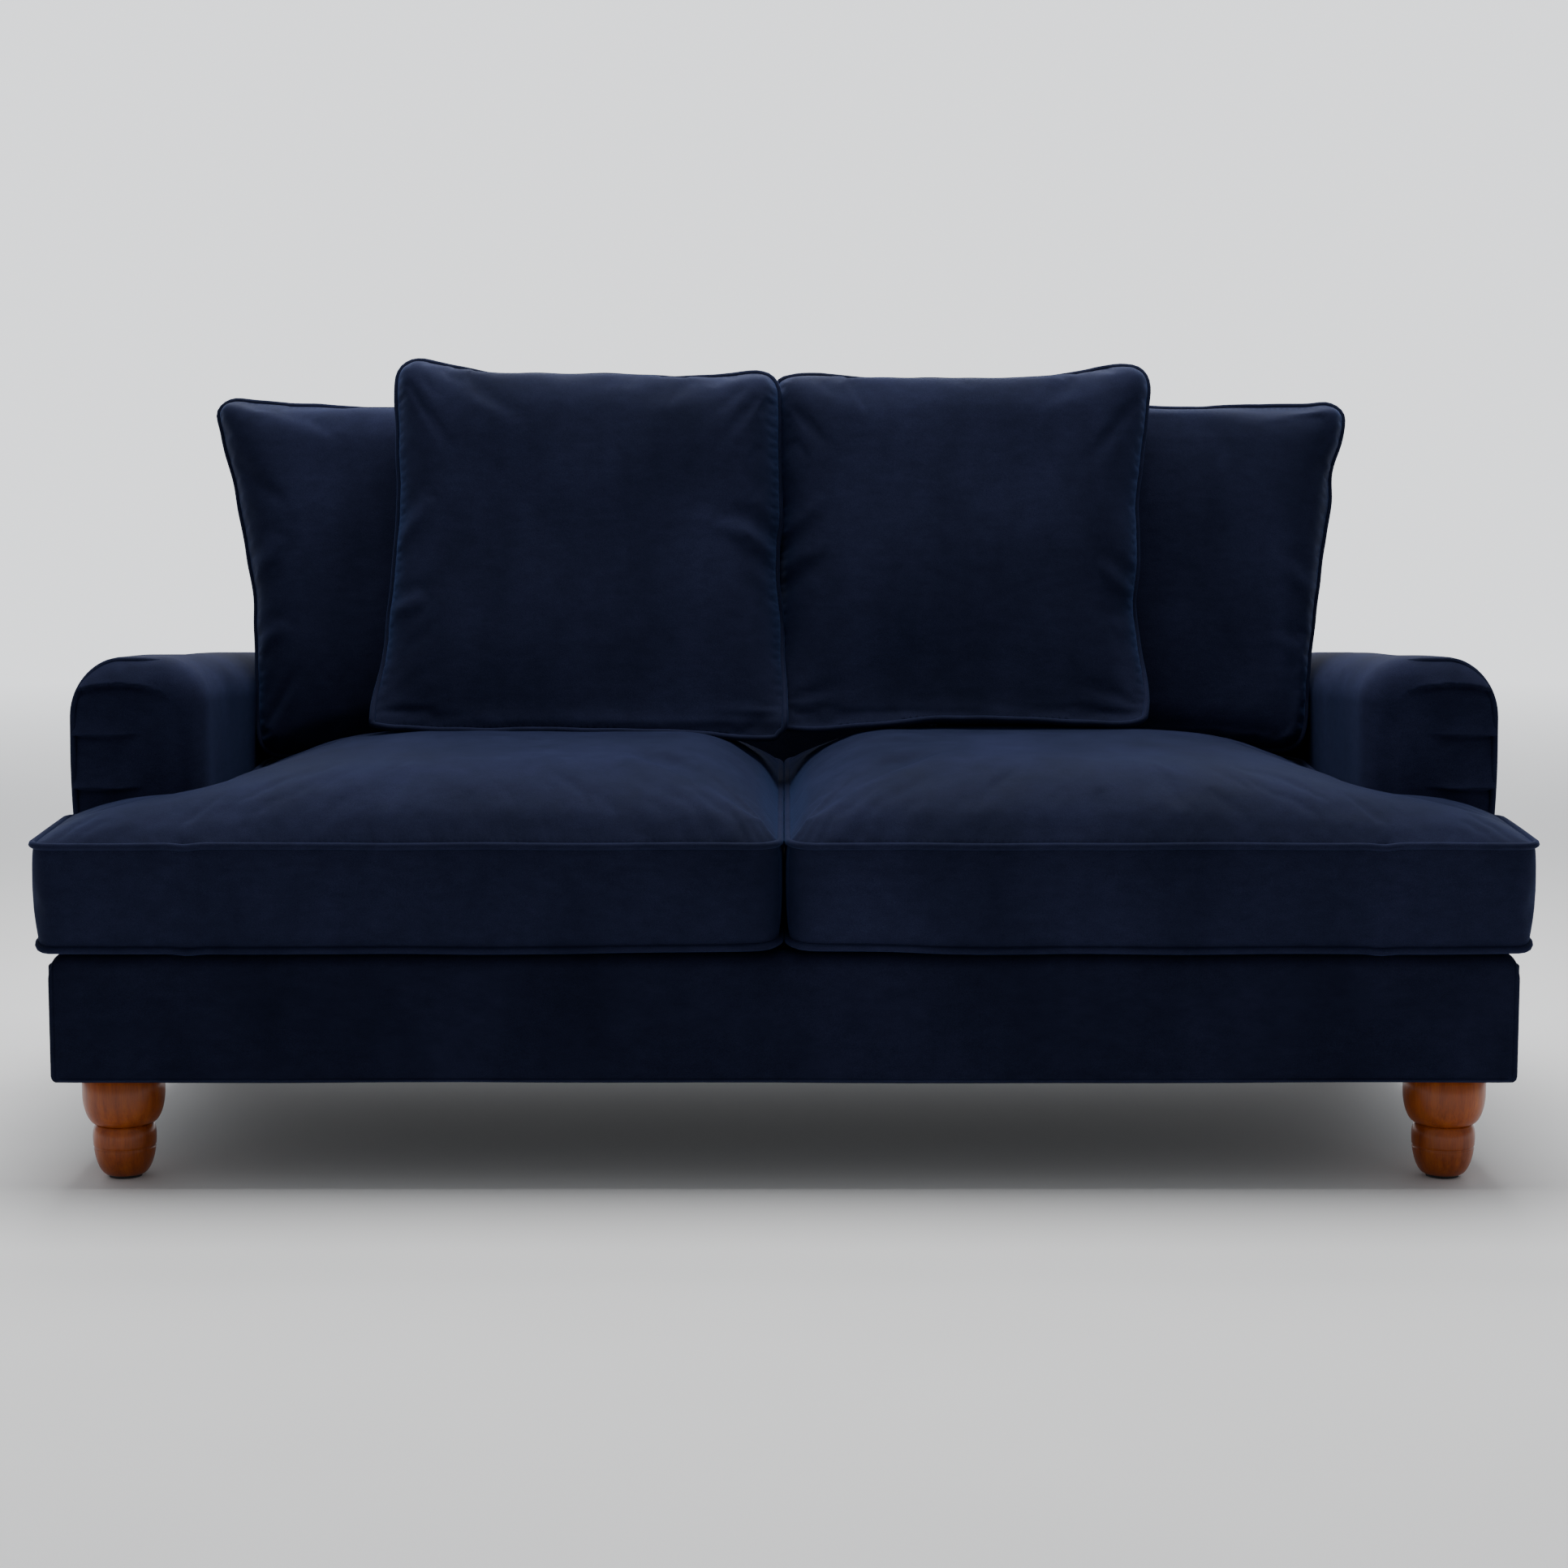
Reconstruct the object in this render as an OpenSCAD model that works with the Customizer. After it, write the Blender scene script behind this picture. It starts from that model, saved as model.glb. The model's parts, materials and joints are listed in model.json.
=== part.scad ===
// Two-seat scatter-back sofa with set-back pleated arms, loose cushions and turned wooden feet.
// Millimetres. +Z is up, the front faces -Y, and the origin is on the floor under the centre.

/* [Overall] */
// Width over the ears of the two seat cushions
sofa_w = 1860; // [1780:10:1940]
// Depth from the seat cushions' front piping to the back panel
sofa_d = 950; // [930:10:990]

/* [Feet and base] */
// Height of a foot, with its glide
foot_h = 138; // [110:2:150]
// Width of the upholstered base
base_w = 1846; // [1836:2:1860]
// Height of the upholstered base
base_h = 165; // [150:5:190]
// Distance of the feet's centres from the sofa's centre line
foot_x = 849; // [780:1:852]

/* [Arms] */
// Height of an arm's top at its front
arm_top = 662; // [620:2:700]
// Slope of an arm's top, falling towards the back, in degrees
arm_drop = 3; // [0:0.1:3]
// Distance from the cushions' front to the face of an arm
arm_setback = 230; // [210:5:250]
// Half of the clear width between the arms
arm_inner_x = 768; // [720:2:780]

/* [Back] */
// Height of the back frame's upholstered top
back_top = 780; // [740:5:820]

/* [Seat cushions] */
// Height between the two lines of piping
boxing_h = 126; // [110:2:140]
// Rise of the crowned top over the top piping
crown_h = 75; // [50:5:90]
// Slope of the seat, rising towards the back, in degrees
seat_tilt = 3.2; // [0:0.1:3.6]
// Radius of the piping on all cushions
piping_r = 4.5; // [3:0.5:5]

/* [Back cushions] */
// Width of a back cushion over its piping
pillow_w = 570; // [540:5:590]
// Height of a back cushion over its piping
pillow_h = 522; // [480:2:540]
// Thickness of a back cushion at its middle
pillow_t = 142; // [120:2:144]
// Lean of the back cushions from upright, in degrees
pillow_rake = 12; // [8:1:14]

/* [Hidden] */
$fn = 64;
flat_arc_fn = 360;          // facets of a circle of which a cushion uses only a flat stretch
fabric = "#16244a";
timber = "#c9a06a";
stained = "#8a4b1f";
steel = "#b9bcc2";
foam = "#e9e0bd";
lining = "#20242c";

front_y = -sofa_d / 2;
back_y = sofa_d / 2;
overhang = 18;              // seat cushions stand this far in front of the base
pad_t = 14;                 // padding and cover on the base
board = 22;                 // thickness of the frame's boards
lining_t = 2;               // dust cover under the frame
gap = 0.5;                  // clearance between pieces that lie against each other

base_y = front_y + overhang;
base_x = base_w / 2;
base_top = foot_h + base_h;
rail_z = foot_h + lining_t;
rail_top = base_top - pad_t;
rail_x = base_x - pad_t;
rail_front = base_y + pad_t;
rail_back = back_y - pad_t;
seat_back_y = 258;          // foot of the padded back, where the seat deck ends
arm_y = front_y + arm_setback;
inner_rail_x = arm_inner_x + board;

foot_front_y = base_y + 83;
foot_back_y = back_y - 83;
glide_t = 3;
glide_r = 21;
foot_r = 52.5;
bolt_r = 4;
bolt_in_foot = 35;
bolt_in_block = 56;
block_h = 50;
tee_r = 5.5;
loose = 0.1;                // radial clearance of a bolt, nut or barrel

spring_w = 4;
spring_pitch = 60;
spring_bar = 30;
spring_count = 10;
spring_bends = 10;
spring_z = rail_top - 7;
spring_step = 152;
spring_y = rail_front + board + 36;
thinner = 0.05;             // a cord's straight bars are this much thinner than its bends
reach = 0.8;                // and reach this far into them

// ---- Outlines with rounded corners -------------------------------------------------------

function unit(v) = v / norm(v);
function half_angle(u, v) = acos(u * v) / 2;
function at(points, i) = points[(i + len(points)) % len(points)];

// One rounded corner of an outline, as [centre, start angle, turn, radius].
function corner(points, radii, i) =
  let (p = points[i], u = unit(at(points, i - 1) - p), v = unit(at(points, i + 1) - p),
       h = half_angle(u, v), c = p + unit(u + v) * radii[i] / sin(h),
       s = p + u * radii[i] / tan(h) - c, e = p + v * radii[i] / tan(h) - c,
       a = atan2(s.y, s.x), t = atan2(e.y, e.x) - a)
  [c, a, t > 180 ? t - 360 : t < -180 ? t + 360 : t, radii[i]];

function corner_points(points, radii, i, steps) =
  radii[i] == 0 ? [points[i]] :
  let (k = corner(points, radii, i))
  [for (j = [0:steps]) k[0] + k[3] * [cos(k[1] + k[2] * j / steps), sin(k[1] + k[2] * j / steps)]];

function rounded(points, radii, steps = 8) =
  [for (i = [0:len(points) - 1]) each corner_points(points, radii, i, steps)];

// A round cord bent along a flat path: a straight bar for each side and a bend for each corner.
module cord(points, radii, r, closed = true) {
  n = len(points);
  for (i = [0:n - 1])
    if (radii[i] > 0) {
      k = corner(points, radii, i);
      translate(k[0]) rotate([0, 0, min(k[1], k[1] + k[2])])
        rotate_extrude(angle = abs(k[2])) translate([k[3], 0]) circle(r);
    }
  for (i = [0:(closed ? n - 1 : n - 2)]) {
    a = side_end(points, radii, i, 1);
    b = side_end(points, radii, (i + 1) % n, -1);
    translate(a) rotate([0, 90, atan2(b.y - a.y, b.x - a.x)])
      translate([0, 0, -reach]) cylinder(h = norm(b - a) + 2 * reach, r = r - thinner);
  }
}

// Where the straight side leaves corner i, towards the next (1) or the previous (-1) corner.
function side_end(points, radii, i, way) =
  radii[i] == 0 ? points[i] :
  let (p = points[i], u = unit(at(points, i - 1) - p), v = unit(at(points, i + 1) - p))
  p + (way > 0 ? v : u) * radii[i] / tan(half_angle(u, v));

// ---- Small helpers -----------------------------------------------------------------------

module box(x, y, z) translate([x[0], y[0], z[0]]) cube([x[1] - x[0], y[1] - y[0], z[1] - z[0]]);
module both_sides() { children(); mirror([1, 0, 0]) children(); }
module side(right) mirror([right ? 1 : 0, 0, 0]) children();
// Turns an outline drawn in Y and Z into a solid that runs along X.
module along_x(x0, x1) translate([x0, 0, 0]) rotate([90, 0, 90]) linear_extrude(x1 - x0) children();
// Turns an outline drawn in X and Z into a solid that runs along Y.
module along_y(y0, y1)
  translate([0, y1, 0]) rotate([90, 0, 0]) linear_extrude(y1 - y0) children();
module at_feet() for (x = [-foot_x, foot_x], y = [foot_front_y, foot_back_y]) translate([x, y, 0]) children();

// ---- Seat frame ---------------------------------------------------------------------------

module front_rail() color(timber)
  box([-rail_x + board, rail_x - board], [rail_front, rail_front + board], [rail_z, rail_top]);

module rear_rail() color(timber)
  box([-rail_x + board, rail_x - board], [rail_back - board, rail_back], [rail_z, rail_top]);

module seat_back_rail() color(timber)
  box([-inner_rail_x, inner_rail_x], [seat_back_y + 4, seat_back_y + 4 + board], [rail_z, rail_top]);

module side_rails() color(timber) both_sides() {
  box([rail_x - board, rail_x], [rail_front, rail_back], [rail_z, rail_top]);
  box([inner_rail_x, inner_rail_x + board], [rail_front + board, rail_back - board], [rail_z, rail_top]);
}

module centre_rail() color(timber)
  box([-board / 2, board / 2], [rail_front + board, seat_back_y + 4], [rail_z, rail_top - 31]);

module corner_blocks() color(timber) difference() {
  both_sides() for (y = [[rail_front + board, rail_front + board + 100], [rail_back - board - 100, rail_back - board]])
    box([inner_rail_x + board, rail_x - board], y, [rail_z, rail_z + block_h]);
  at_feet() translate([0, 0, rail_z - 1]) cylinder(h = block_h + 2, r = tee_r + loose);
}

// ---- Springs and deck ---------------------------------------------------------------------

// One serpentine spring of square wire, lying flat: a bar across at every bend and half rings between.
module spring() linear_extrude(spring_w) for (k = [0:spring_bends]) translate([0, k * spring_pitch]) {
  translate([-spring_bar / 2 - reach, -spring_w / 2]) square([spring_bar + 2 * reach, spring_w]);
  if (k < spring_bends)
    mirror([k % 2, 0]) translate([spring_bar / 2, spring_pitch / 2]) intersection() {
      difference() {
        circle(spring_pitch / 2 + spring_w / 2);
        circle(spring_pitch / 2 - spring_w / 2);
      }
      translate([0, -spring_pitch]) square([spring_pitch, 2 * spring_pitch]);
    }
}

function spring_x(i) = (i - (spring_count - 1) / 2) * spring_step;

module seat_springs() color(steel)
  for (i = [0:spring_count - 1]) translate([spring_x(i), spring_y, spring_z - spring_w / 2]) spring();

// Each clip is a block on a rail that holds a spring's end bar.
module spring_clips() color(steel) difference() {
  for (i = [0:spring_count - 1], far = [0, 1]) {
    y = far ? [spring_y + spring_bends * spring_pitch - 6, seat_back_y + 4] : [rail_front + board, spring_y + 6];
    translate([spring_x(i), 0, 0]) box([-9, 9], y, [spring_z - 5, spring_z + 5]);
  }
  for (y = [spring_y, spring_y + spring_bends * spring_pitch])
    box([-sofa_w / 2, sofa_w / 2], [y - spring_w / 2 - loose, y + spring_w / 2 + loose],
        [spring_z - spring_w / 2 - loose, spring_z + spring_w / 2 + loose]);
}

// Height of the seat cushions' underside at that depth.
function seat_plane(y) = base_top + (y - seat_front) * tan(seat_tilt);

module deck_pad() color(lining) along_x(-arm_inner_x + 2, arm_inner_x - 2)
  polygon([[base_y + 67 + gap, rail_top + 1], [base_y + 67 + gap, seat_plane(base_y + 67)],
           [seat_back_y - 1, seat_plane(seat_back_y - 1)], [seat_back_y - 1, rail_top + 1]]);

// ---- Base upholstery ----------------------------------------------------------------------

platform_back = arm_y - 1;

module front_border() color(fabric) {
  edge = rounded([[base_y, foot_h], [base_y, base_top], [base_y + 67, base_top],
                  [base_y + 67, rail_top], [rail_front, rail_top], [rail_front, foot_h]],
                 [0, 20, 0, 0, 0, 0]);
  along_x(-base_x, base_x) polygon(edge);
  both_sides() along_y(base_y + 67, platform_back)
    polygon(rounded([[arm_inner_x, rail_top], [arm_inner_x, base_top], [base_x, base_top], [base_x, rail_top]],
                    [0, 0, 10, 0]));
}

module side_border(right) color(fabric) side(right)
  box([-base_x, -rail_x], [rail_front, rail_back], [foot_h, rail_top]);

module dust_cover() color(lining) difference() {
  box([-rail_x, rail_x], [rail_front, rail_back], [foot_h, rail_z]);
  at_feet() translate([0, 0, foot_h - 1]) cylinder(h = lining_t + 2, r = bolt_r + 1);
}

// ---- Arms ---------------------------------------------------------------------------------

arm_h = arm_top - rail_top;
arm_flare = 23;             // the outer side leans out by this much at the top
arm_wall = 22;              // foam and cover round the arm's frame
facing_t = 12;
arm_len = back_y - arm_y;
arm_end = arm_len - 22;     // where the hollow inside an arm ends

// The arm's section, inset by the same distance all round.
function arm_section(inset, outer_inset) =
  rounded([[-arm_inner_x - inset, -60], [-arm_inner_x - inset, arm_h - inset],
           [-base_x - arm_flare + outer_inset, arm_h - inset], [-base_x + outer_inset, -60]],
          [0, 62 - inset, 68 - outer_inset, 0]);

// Places pieces in an arm's own frame and trims them at the rails' top and at the back.
module arm_frame() intersection() {
  translate([0, arm_y, rail_top]) rotate([-arm_drop, 0, 0]) children();
  box([-sofa_w, sofa_w], [-sofa_d, back_y], [rail_top, arm_top + 50]);
}

module arm_shell(right) color(fabric) side(right) difference() {
  arm_frame() along_y(facing_t, arm_len + 40) polygon(arm_section(0, 0));
  arm_frame() along_y(facing_t - 1, arm_end) polygon(arm_section(arm_wall, arm_wall));
}

module arm_facing(right) color(fabric) side(right)
  arm_frame() along_y(0, facing_t) polygon(arm_section(2 * piping_r + 1, 2 * piping_r + 1));

module arm_piping() color(fabric) both_sides() arm_frame()
  translate([0, piping_r, 0]) rotate([90, 0, 0])
    cord([[-base_x + piping_r + gap, -60], [-base_x - arm_flare + piping_r + gap, arm_h - piping_r],
          [-arm_inner_x - 62, arm_h - piping_r]], [0, 63, 0], piping_r, closed = false);

module arm_front_posts() color(timber) both_sides() arm_frame()
  along_y(facing_t, facing_t + board) polygon(arm_section(arm_wall + gap, arm_wall + gap));

module arm_rear_posts() color(timber) both_sides() arm_frame()
  along_y(arm_end - 1 - board, arm_end - 1) polygon(arm_section(arm_wall + gap, arm_wall + gap));

module arm_top_rails() color(timber) both_sides() arm_frame()
  box([-base_x + 32, -arm_inner_x - 38], [facing_t + board + gap, arm_end - 2 - board],
      [arm_h - 56, arm_h - 34]);

// ---- Back ---------------------------------------------------------------------------------

back_x = arm_inner_x - 2;
back_lean = 0.14;           // how far the back's padded face moves back for each mm of height
back_pad_t = 26;
panel_top = back_top - 30;
post_x = back_x - 9;

function face_y(z) = seat_back_y + back_lean * (z - rail_top) + back_pad_t;

module back_pad() color(fabric) difference() {
  along_x(-back_x, back_x)
    polygon(rounded([[seat_back_y, rail_top + 2], [face_y(back_top) - back_pad_t, back_top],
                     [back_y, back_top], [back_y, rail_top + 2]], [0, 32, 26, 0]));
  along_x(-post_x - 1, post_x + 1)
    polygon([[face_y(rail_top), rail_top], [face_y(back_top - 28), back_top - 28],
             [back_y - 5, back_top - 28], [back_y - 5, rail_top]]);
  box([-sofa_w, sofa_w], [back_y - 6, back_y + 1], [rail_top, panel_top]);
}

module back_panel() color(fabric) {
  box([-base_x, base_x], [rail_back, back_y], [foot_h, rail_top]);
  box([-back_x, back_x], [back_y - 6, back_y], [rail_top - 1, panel_top - gap]);
}

module back_posts() color(timber) {
  both_sides() along_x(post_x - board, post_x)
    polygon([[rail_back - board - 47, rail_z], [rail_back - board - 1, rail_z], [rail_back - board - 1, rail_top],
             [back_y - 9, rail_top + 30], [back_y - 9, back_top - 32],
             [face_y(back_top - 32) + 6, back_top - 32], [face_y(rail_top + 20) + 6, rail_top + 20],
             [rail_back - board - 47, rail_top]]);
  along_x(-board / 2, board / 2)
    polygon([[rail_back - board - 34, rail_z], [rail_back - board - 1, rail_z], [rail_back - board - 1, rail_top],
             [back_y - 9, rail_top + 30], [back_y - 9, back_top - 32], [rail_back - board - 34, back_top - 32]]);
}

module back_rails() color(timber) for (z = [rail_top + 30, back_top - 75])
  box([-post_x + board, post_x - board], [face_y(z + 42) + 5, face_y(z + 42) + 5 + board], [z, z + 42]);

module back_webbing() color(lining) for (i = [0:7]) translate([(i - 3.5) * 180, 0, 0]) along_x(-30, 30)
  polygon([[face_y(rail_top + 32) + 2, rail_top + 32], [face_y(rail_top + 32) + 4, rail_top + 32],
           [face_y(back_top - 34) + 4, back_top - 34], [face_y(back_top - 34) + 2, back_top - 34]]);

// ---- Feet ---------------------------------------------------------------------------------

neck_r = 35;
neck_z = 70;
bead_r = 40.3;
bead_z = 54;
groove_z = 40;
cup_h = 43;                 // height over which the foot swells from its neck to its top

function lower_r(z) = glide_r + (bead_r - glide_r) * sqrt(1 - pow((bead_z - z) / (bead_z - glide_t + 0.3), 2));

foot_profile = concat(
  [[0, glide_t], [glide_r, glide_t]],
  [for (z = [glide_t + 1, 5, 8, 12, 17, 23, 30, groove_z - 1.2]) [lower_r(z), z]],
  [[lower_r(groove_z) - 1.3, groove_z]],
  [for (z = [groove_z + 1.2, 47]) [lower_r(z), z]],
  [for (a = [90:-10:0]) [neck_r + (bead_r - neck_r) * sin(a), neck_z - (neck_z - bead_z) * (1 - cos(a))]],
  [for (a = [9:9:90]) [neck_r + (foot_r - neck_r) * sin(a), neck_z + cup_h * (1 - cos(a))]],
  [[foot_r, foot_h], [0, foot_h]]);

module foot(x, y) color(stained) translate([x, y, 0]) difference() {
  rotate_extrude() polygon(foot_profile);
  translate([0, 0, foot_h - bolt_in_foot - 1]) cylinder(h = bolt_in_foot + 2, r = bolt_r + loose);
}

module foot_bolts() color(steel) at_feet()
  translate([0, 0, foot_h - bolt_in_foot]) cylinder(h = bolt_in_foot + bolt_in_block, r = bolt_r);

module tee_nuts() color(steel) at_feet() difference() {
  translate([0, 0, rail_z + block_h - 12]) union() {
    cylinder(h = 12, r = tee_r);
    translate([0, 0, 12]) cylinder(h = 2, r = 11);
  }
  translate([0, 0, rail_z]) cylinder(h = block_h + 10, r = bolt_r + loose);
}

module foot_glides() color(lining) at_feet() cylinder(h = glide_t, r = glide_r);

// ---- Seat cushions ------------------------------------------------------------------------

ear_x = sofa_w / 2;
body_x = arm_inner_x - 4;
split_x = 2;                // half of the gap between the two cushions
cushion_back = seat_back_y - 4;
ear_back = arm_y - 5;
low_piping = 6 + piping_r;
top_piping = low_piping + boxing_h;
seat_front = front_y + top_piping * sin(seat_tilt) + piping_r * (1 - cos(seat_tilt));
rabbet = 2 * piping_r + 1.2;
top_z = top_piping + piping_r + 0.4;
cover_t = 4;
ear_crown = 34;             // rise of the crown on an ear
crown_margin = 8;           // flat strip between the piping and a crown
ear_reach = 240;            // how far an ear's crown runs in under the body's own crown

// Sets pieces drawn in a cushion's own frame on the sloping deck.
module on_deck() translate([0, seat_front, base_top + gap]) rotate([seat_tilt, 0, 0])
  translate([0, -seat_front, 0]) children();

// The cushion's plan: a body between the arms and an ear in front of the arm, inset all round.
function seat_plan(i) =
  [[-ear_x + i, seat_front + i], [-split_x - i, seat_front + i], [-split_x - i, cushion_back - i],
   [-body_x + i, cushion_back - i], [-body_x + i, ear_back - i], [-ear_x + i, ear_back - i]];
function seat_radii(i) = [28 - i, 34 - i, 50 - i, 50 - i, 16 + i, 22 - i];

module seat_slab(i, z0, z1) translate([0, 0, z0]) linear_extrude(z1 - z0)
  polygon(rounded(seat_plan(i), [for (r = seat_radii(i)) max(r, 3)]));

// One barrel vault of that chord and rise, as long as len.
module vault(chord, rise, length) {
  r = (chord * chord / 4 + rise * rise) / (2 * rise);
  along_y(-length / 2, length / 2) intersection() {
    translate([0, rise - r]) circle(r, $fn = flat_arc_fn);
    translate([-chord, 0]) square([2 * chord, 2 * rise]);
  }
}

// A crowned rectangle: two crossed vaults.
module crown(x, y, rise) translate([(x[0] + x[1]) / 2, (y[0] + y[1]) / 2, 0]) intersection() {
  vault(x[1] - x[0], rise, y[1] - y[0] + 10);
  rotate([0, 0, 90]) vault(y[1] - y[0], rise, x[1] - x[0] + 10);
}

module seat_crowns(i) {
  crown([-body_x + i, -split_x - i], [seat_front + i, cushion_back - i], crown_h);
  crown([-ear_x + i, -body_x + ear_reach - i], [seat_front + i, ear_back - i], ear_crown);
}

// The whole cushion: its border, a smaller pad under it and the crowns on top.
module seat_body(i, z_cut) {
  seat_slab(i, 6 + z_cut, top_z - z_cut + 1);
  seat_slab(45 + i, z_cut, 7 + z_cut);
  translate([0, 0, top_z - z_cut]) seat_crowns(i + crown_margin);
}

zip_x = [-680, -90];        // the zip's two ends along the back of the left cushion
zip_z = [62, 82];

module seat_cover(right) color(fabric) side(right) on_deck() difference() {
  union() {
    seat_body(rabbet, 0);
    seat_slab(1.5, low_piping + piping_r + 0.4, top_piping - piping_r - 0.4);
  }
  seat_body(rabbet + cover_t, cover_t);
  box(zip_x, [cushion_back - 30, cushion_back + 1], zip_z);
}

module seat_foam(right) color(foam) side(right) on_deck()
  seat_body(rabbet + cover_t + gap, cover_t + gap);

module seat_piping(right) color(fabric) side(right) on_deck() for (z = [low_piping, top_piping])
  translate([0, 0, z]) cord(seat_plan(piping_r), seat_radii(piping_r), piping_r);

module seat_zip(right) color(lining) side(right) on_deck()
  box(zip_x + [0.2, -0.2], [cushion_back - 13, cushion_back - 8], zip_z + [0.2, -0.2]);

module seat_zip_slider(right) color(steel) side(right) on_deck()
  translate([zip_x[0] + 12, cushion_back - 7.7, (zip_z[0] + zip_z[1]) / 2]) {
    box([-8, 8], [0, 3], [-5, 5]);
    box([-3, 3], [3, 4.6], [-9, 4]);
  }

// ---- Back cushions ------------------------------------------------------------------------

edge_t = 12;                // thickness of a back cushion's cover beside its piping
pillow_wall = 3;
zip_reach = 190;            // half the travel of the slider, along the back of the cushion
zip_up = 34;                // how high the slider sits on the cushion's back

// A lens of that chord, thick in the middle and edge thick at its ends.
module lens(chord, thick, edge) {
  s = (thick - edge) / 2;
  r = (chord * chord / 4 + s * s) / (2 * s);
  intersection() {
    translate([0, thick / 2 - r]) circle(r, $fn = flat_arc_fn);
    translate([0, r - thick / 2]) circle(r, $fn = flat_arc_fn);
    square([chord, thick], center = true);
  }
}

corner_r = 56;              // rounding of a back cushion's corners, over its piping
splay = 25;                 // an outer cushion's outer edge leans out by this much each way
cover_inset = 2 * piping_r + gap;
fill_inset = cover_inset + pillow_wall;

// A back cushion's outline, inset all round, with the foot at zero height.
function pillow_outline(i, lean) =
  [[-pillow_w / 2 + i + lean, i], [pillow_w / 2 - i, i], [pillow_w / 2 - i, pillow_h - i],
   [-pillow_w / 2 + i - lean, pillow_h - i]];
function pillow_radii(i) = [for (k = [0:3]) corner_r - i];

// A pillow whose seam lies in the XZ plane, standing on its foot.
module pillow(i, thick, edge, lean) intersection() {
  translate([-lean / 2, 0, i]) linear_extrude(pillow_h - 2 * i) lens(pillow_w + lean - 2 * i, thick, edge);
  translate([0, 0, pillow_h / 2]) rotate([0, 90, 0]) translate([0, 0, -pillow_w])
    linear_extrude(2 * pillow_w) lens(pillow_h - 2 * i, thick, edge);
  along_y(-thick / 2, thick / 2) polygon(rounded(pillow_outline(i, lean), pillow_radii(i)));
}

function vault_z(chord, rise, d) =
  let (r = (chord * chord / 4 + rise * rise) / (2 * rise)) rise - r + sqrt(r * r - d * d);

// Height of the seat's crown at that depth.
function seat_surface(y) =
  seat_plane(y) + gap + top_z
  + vault_z(cushion_back - seat_front - 2 * rabbet, crown_h, y - (cushion_back + seat_front) / 2);

// A back cushion's place on the left: its foot's middle, and its turn in its own plane. The inner
// right cushion stands a little further back, with its edge behind the inner left one's.
function place(outer, right) =
  outer ? [-490, 195, seat_surface(195) + 14, 4] :
  right ? [-252, 70, seat_surface(70) + 2, 0] : [-287, 38, seat_surface(38) + 2, 0];

module placed(outer, right) {
  p = place(outer, right);
  side(right) translate([p[0], p[1], p[2]]) rotate([-pillow_rake, 0, 0]) rotate([0, -p[3], 0]) children();
}

module back_cover(outer, right) color(fabric) placed(outer, right) difference() {
  pillow(cover_inset, pillow_t, edge_t, outer ? splay : 0);
  pillow(fill_inset, pillow_t - 2 * pillow_wall, edge_t - 2 * pillow_wall, outer ? splay : 0);
  box([-zip_reach - 14, zip_reach + 14], [0, pillow_t / 2], [zip_up - 1, zip_up + 1]);
}

module back_filling(outer, right) color(foam) placed(outer, right)
  pillow(fill_inset + gap, pillow_t - 2 * (pillow_wall + gap), edge_t - 2 * (pillow_wall + gap),
         outer ? splay : 0);

module back_piping(outer, right) color(fabric) placed(outer, right) rotate([90, 0, 0])
  cord(pillow_outline(piping_r, outer ? splay : 0), pillow_radii(piping_r), piping_r);

// Half the thickness of a back cushion at height z over its foot.
function pillow_half(z) = edge_t / 2
  + vault_z(pillow_h - 2 * cover_inset, (pillow_t - edge_t) / 2, pillow_h / 2 - z);

module back_zip_slider(outer, right) color(steel) placed(outer, right)
  translate([-zip_reach, pillow_half(zip_up + 8) + 0.4, zip_up]) {
    box([-8, 8], [0, 3], [-5, 5]);
    box([-3, 3], [3, 4.6], [-9, 4]);
  }

// ---- Nodes --------------------------------------------------------------------------------

front_rail();
rear_rail();
seat_back_rail();
side_rails();
centre_rail();
corner_blocks();
arm_front_posts();
arm_rear_posts();
arm_top_rails();
back_posts();
back_rails();
seat_springs();
spring_clips();
back_webbing();
deck_pad();
front_border();
side_border(false);  // side_border_left
side_border(true);  // side_border_right
back_panel();
back_pad();
arm_shell(false);  // arm_shell_left
arm_shell(true);  // arm_shell_right
arm_facing(false);  // arm_facing_left
arm_facing(true);  // arm_facing_right
arm_piping();
dust_cover();
foot(-foot_x, foot_front_y);  // foot_front_left
foot(foot_x, foot_front_y);  // foot_front_right
foot(-foot_x, foot_back_y);  // foot_rear_left
foot(foot_x, foot_back_y);  // foot_rear_right
foot_bolts();
tee_nuts();
foot_glides();
seat_cover(false);  // seat_cover_left
seat_foam(false);  // seat_foam_left
seat_piping(false);  // seat_piping_left
seat_zip(false);  // seat_zip_left
seat_zip_slider(false);  // seat_zip_slider_left
seat_cover(true);  // seat_cover_right
seat_foam(true);  // seat_foam_right
seat_piping(true);  // seat_piping_right
seat_zip(true);  // seat_zip_right
seat_zip_slider(true);  // seat_zip_slider_right
back_cover(true, false);  // back_cover_outer_left
back_filling(true, false);  // back_filling_outer_left
back_piping(true, false);  // back_piping_outer_left
back_zip_slider(true, false);  // back_zip_slider_outer_left
back_cover(false, false);  // back_cover_inner_left
back_filling(false, false);  // back_filling_inner_left
back_piping(false, false);  // back_piping_inner_left
back_zip_slider(false, false);  // back_zip_slider_inner_left
back_cover(false, true);  // back_cover_inner_right
back_filling(false, true);  // back_filling_inner_right
back_piping(false, true);  // back_piping_inner_right
back_zip_slider(false, true);  // back_zip_slider_inner_right
back_cover(true, true);  // back_cover_outer_right
back_filling(true, true);  // back_filling_outer_right
back_piping(true, true);  // back_piping_outer_right
back_zip_slider(true, true);  // back_zip_slider_outer_right
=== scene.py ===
"""A navy velvet sofa with loose piped cushions and turned wooden feet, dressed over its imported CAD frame."""
import json
import math

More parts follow.
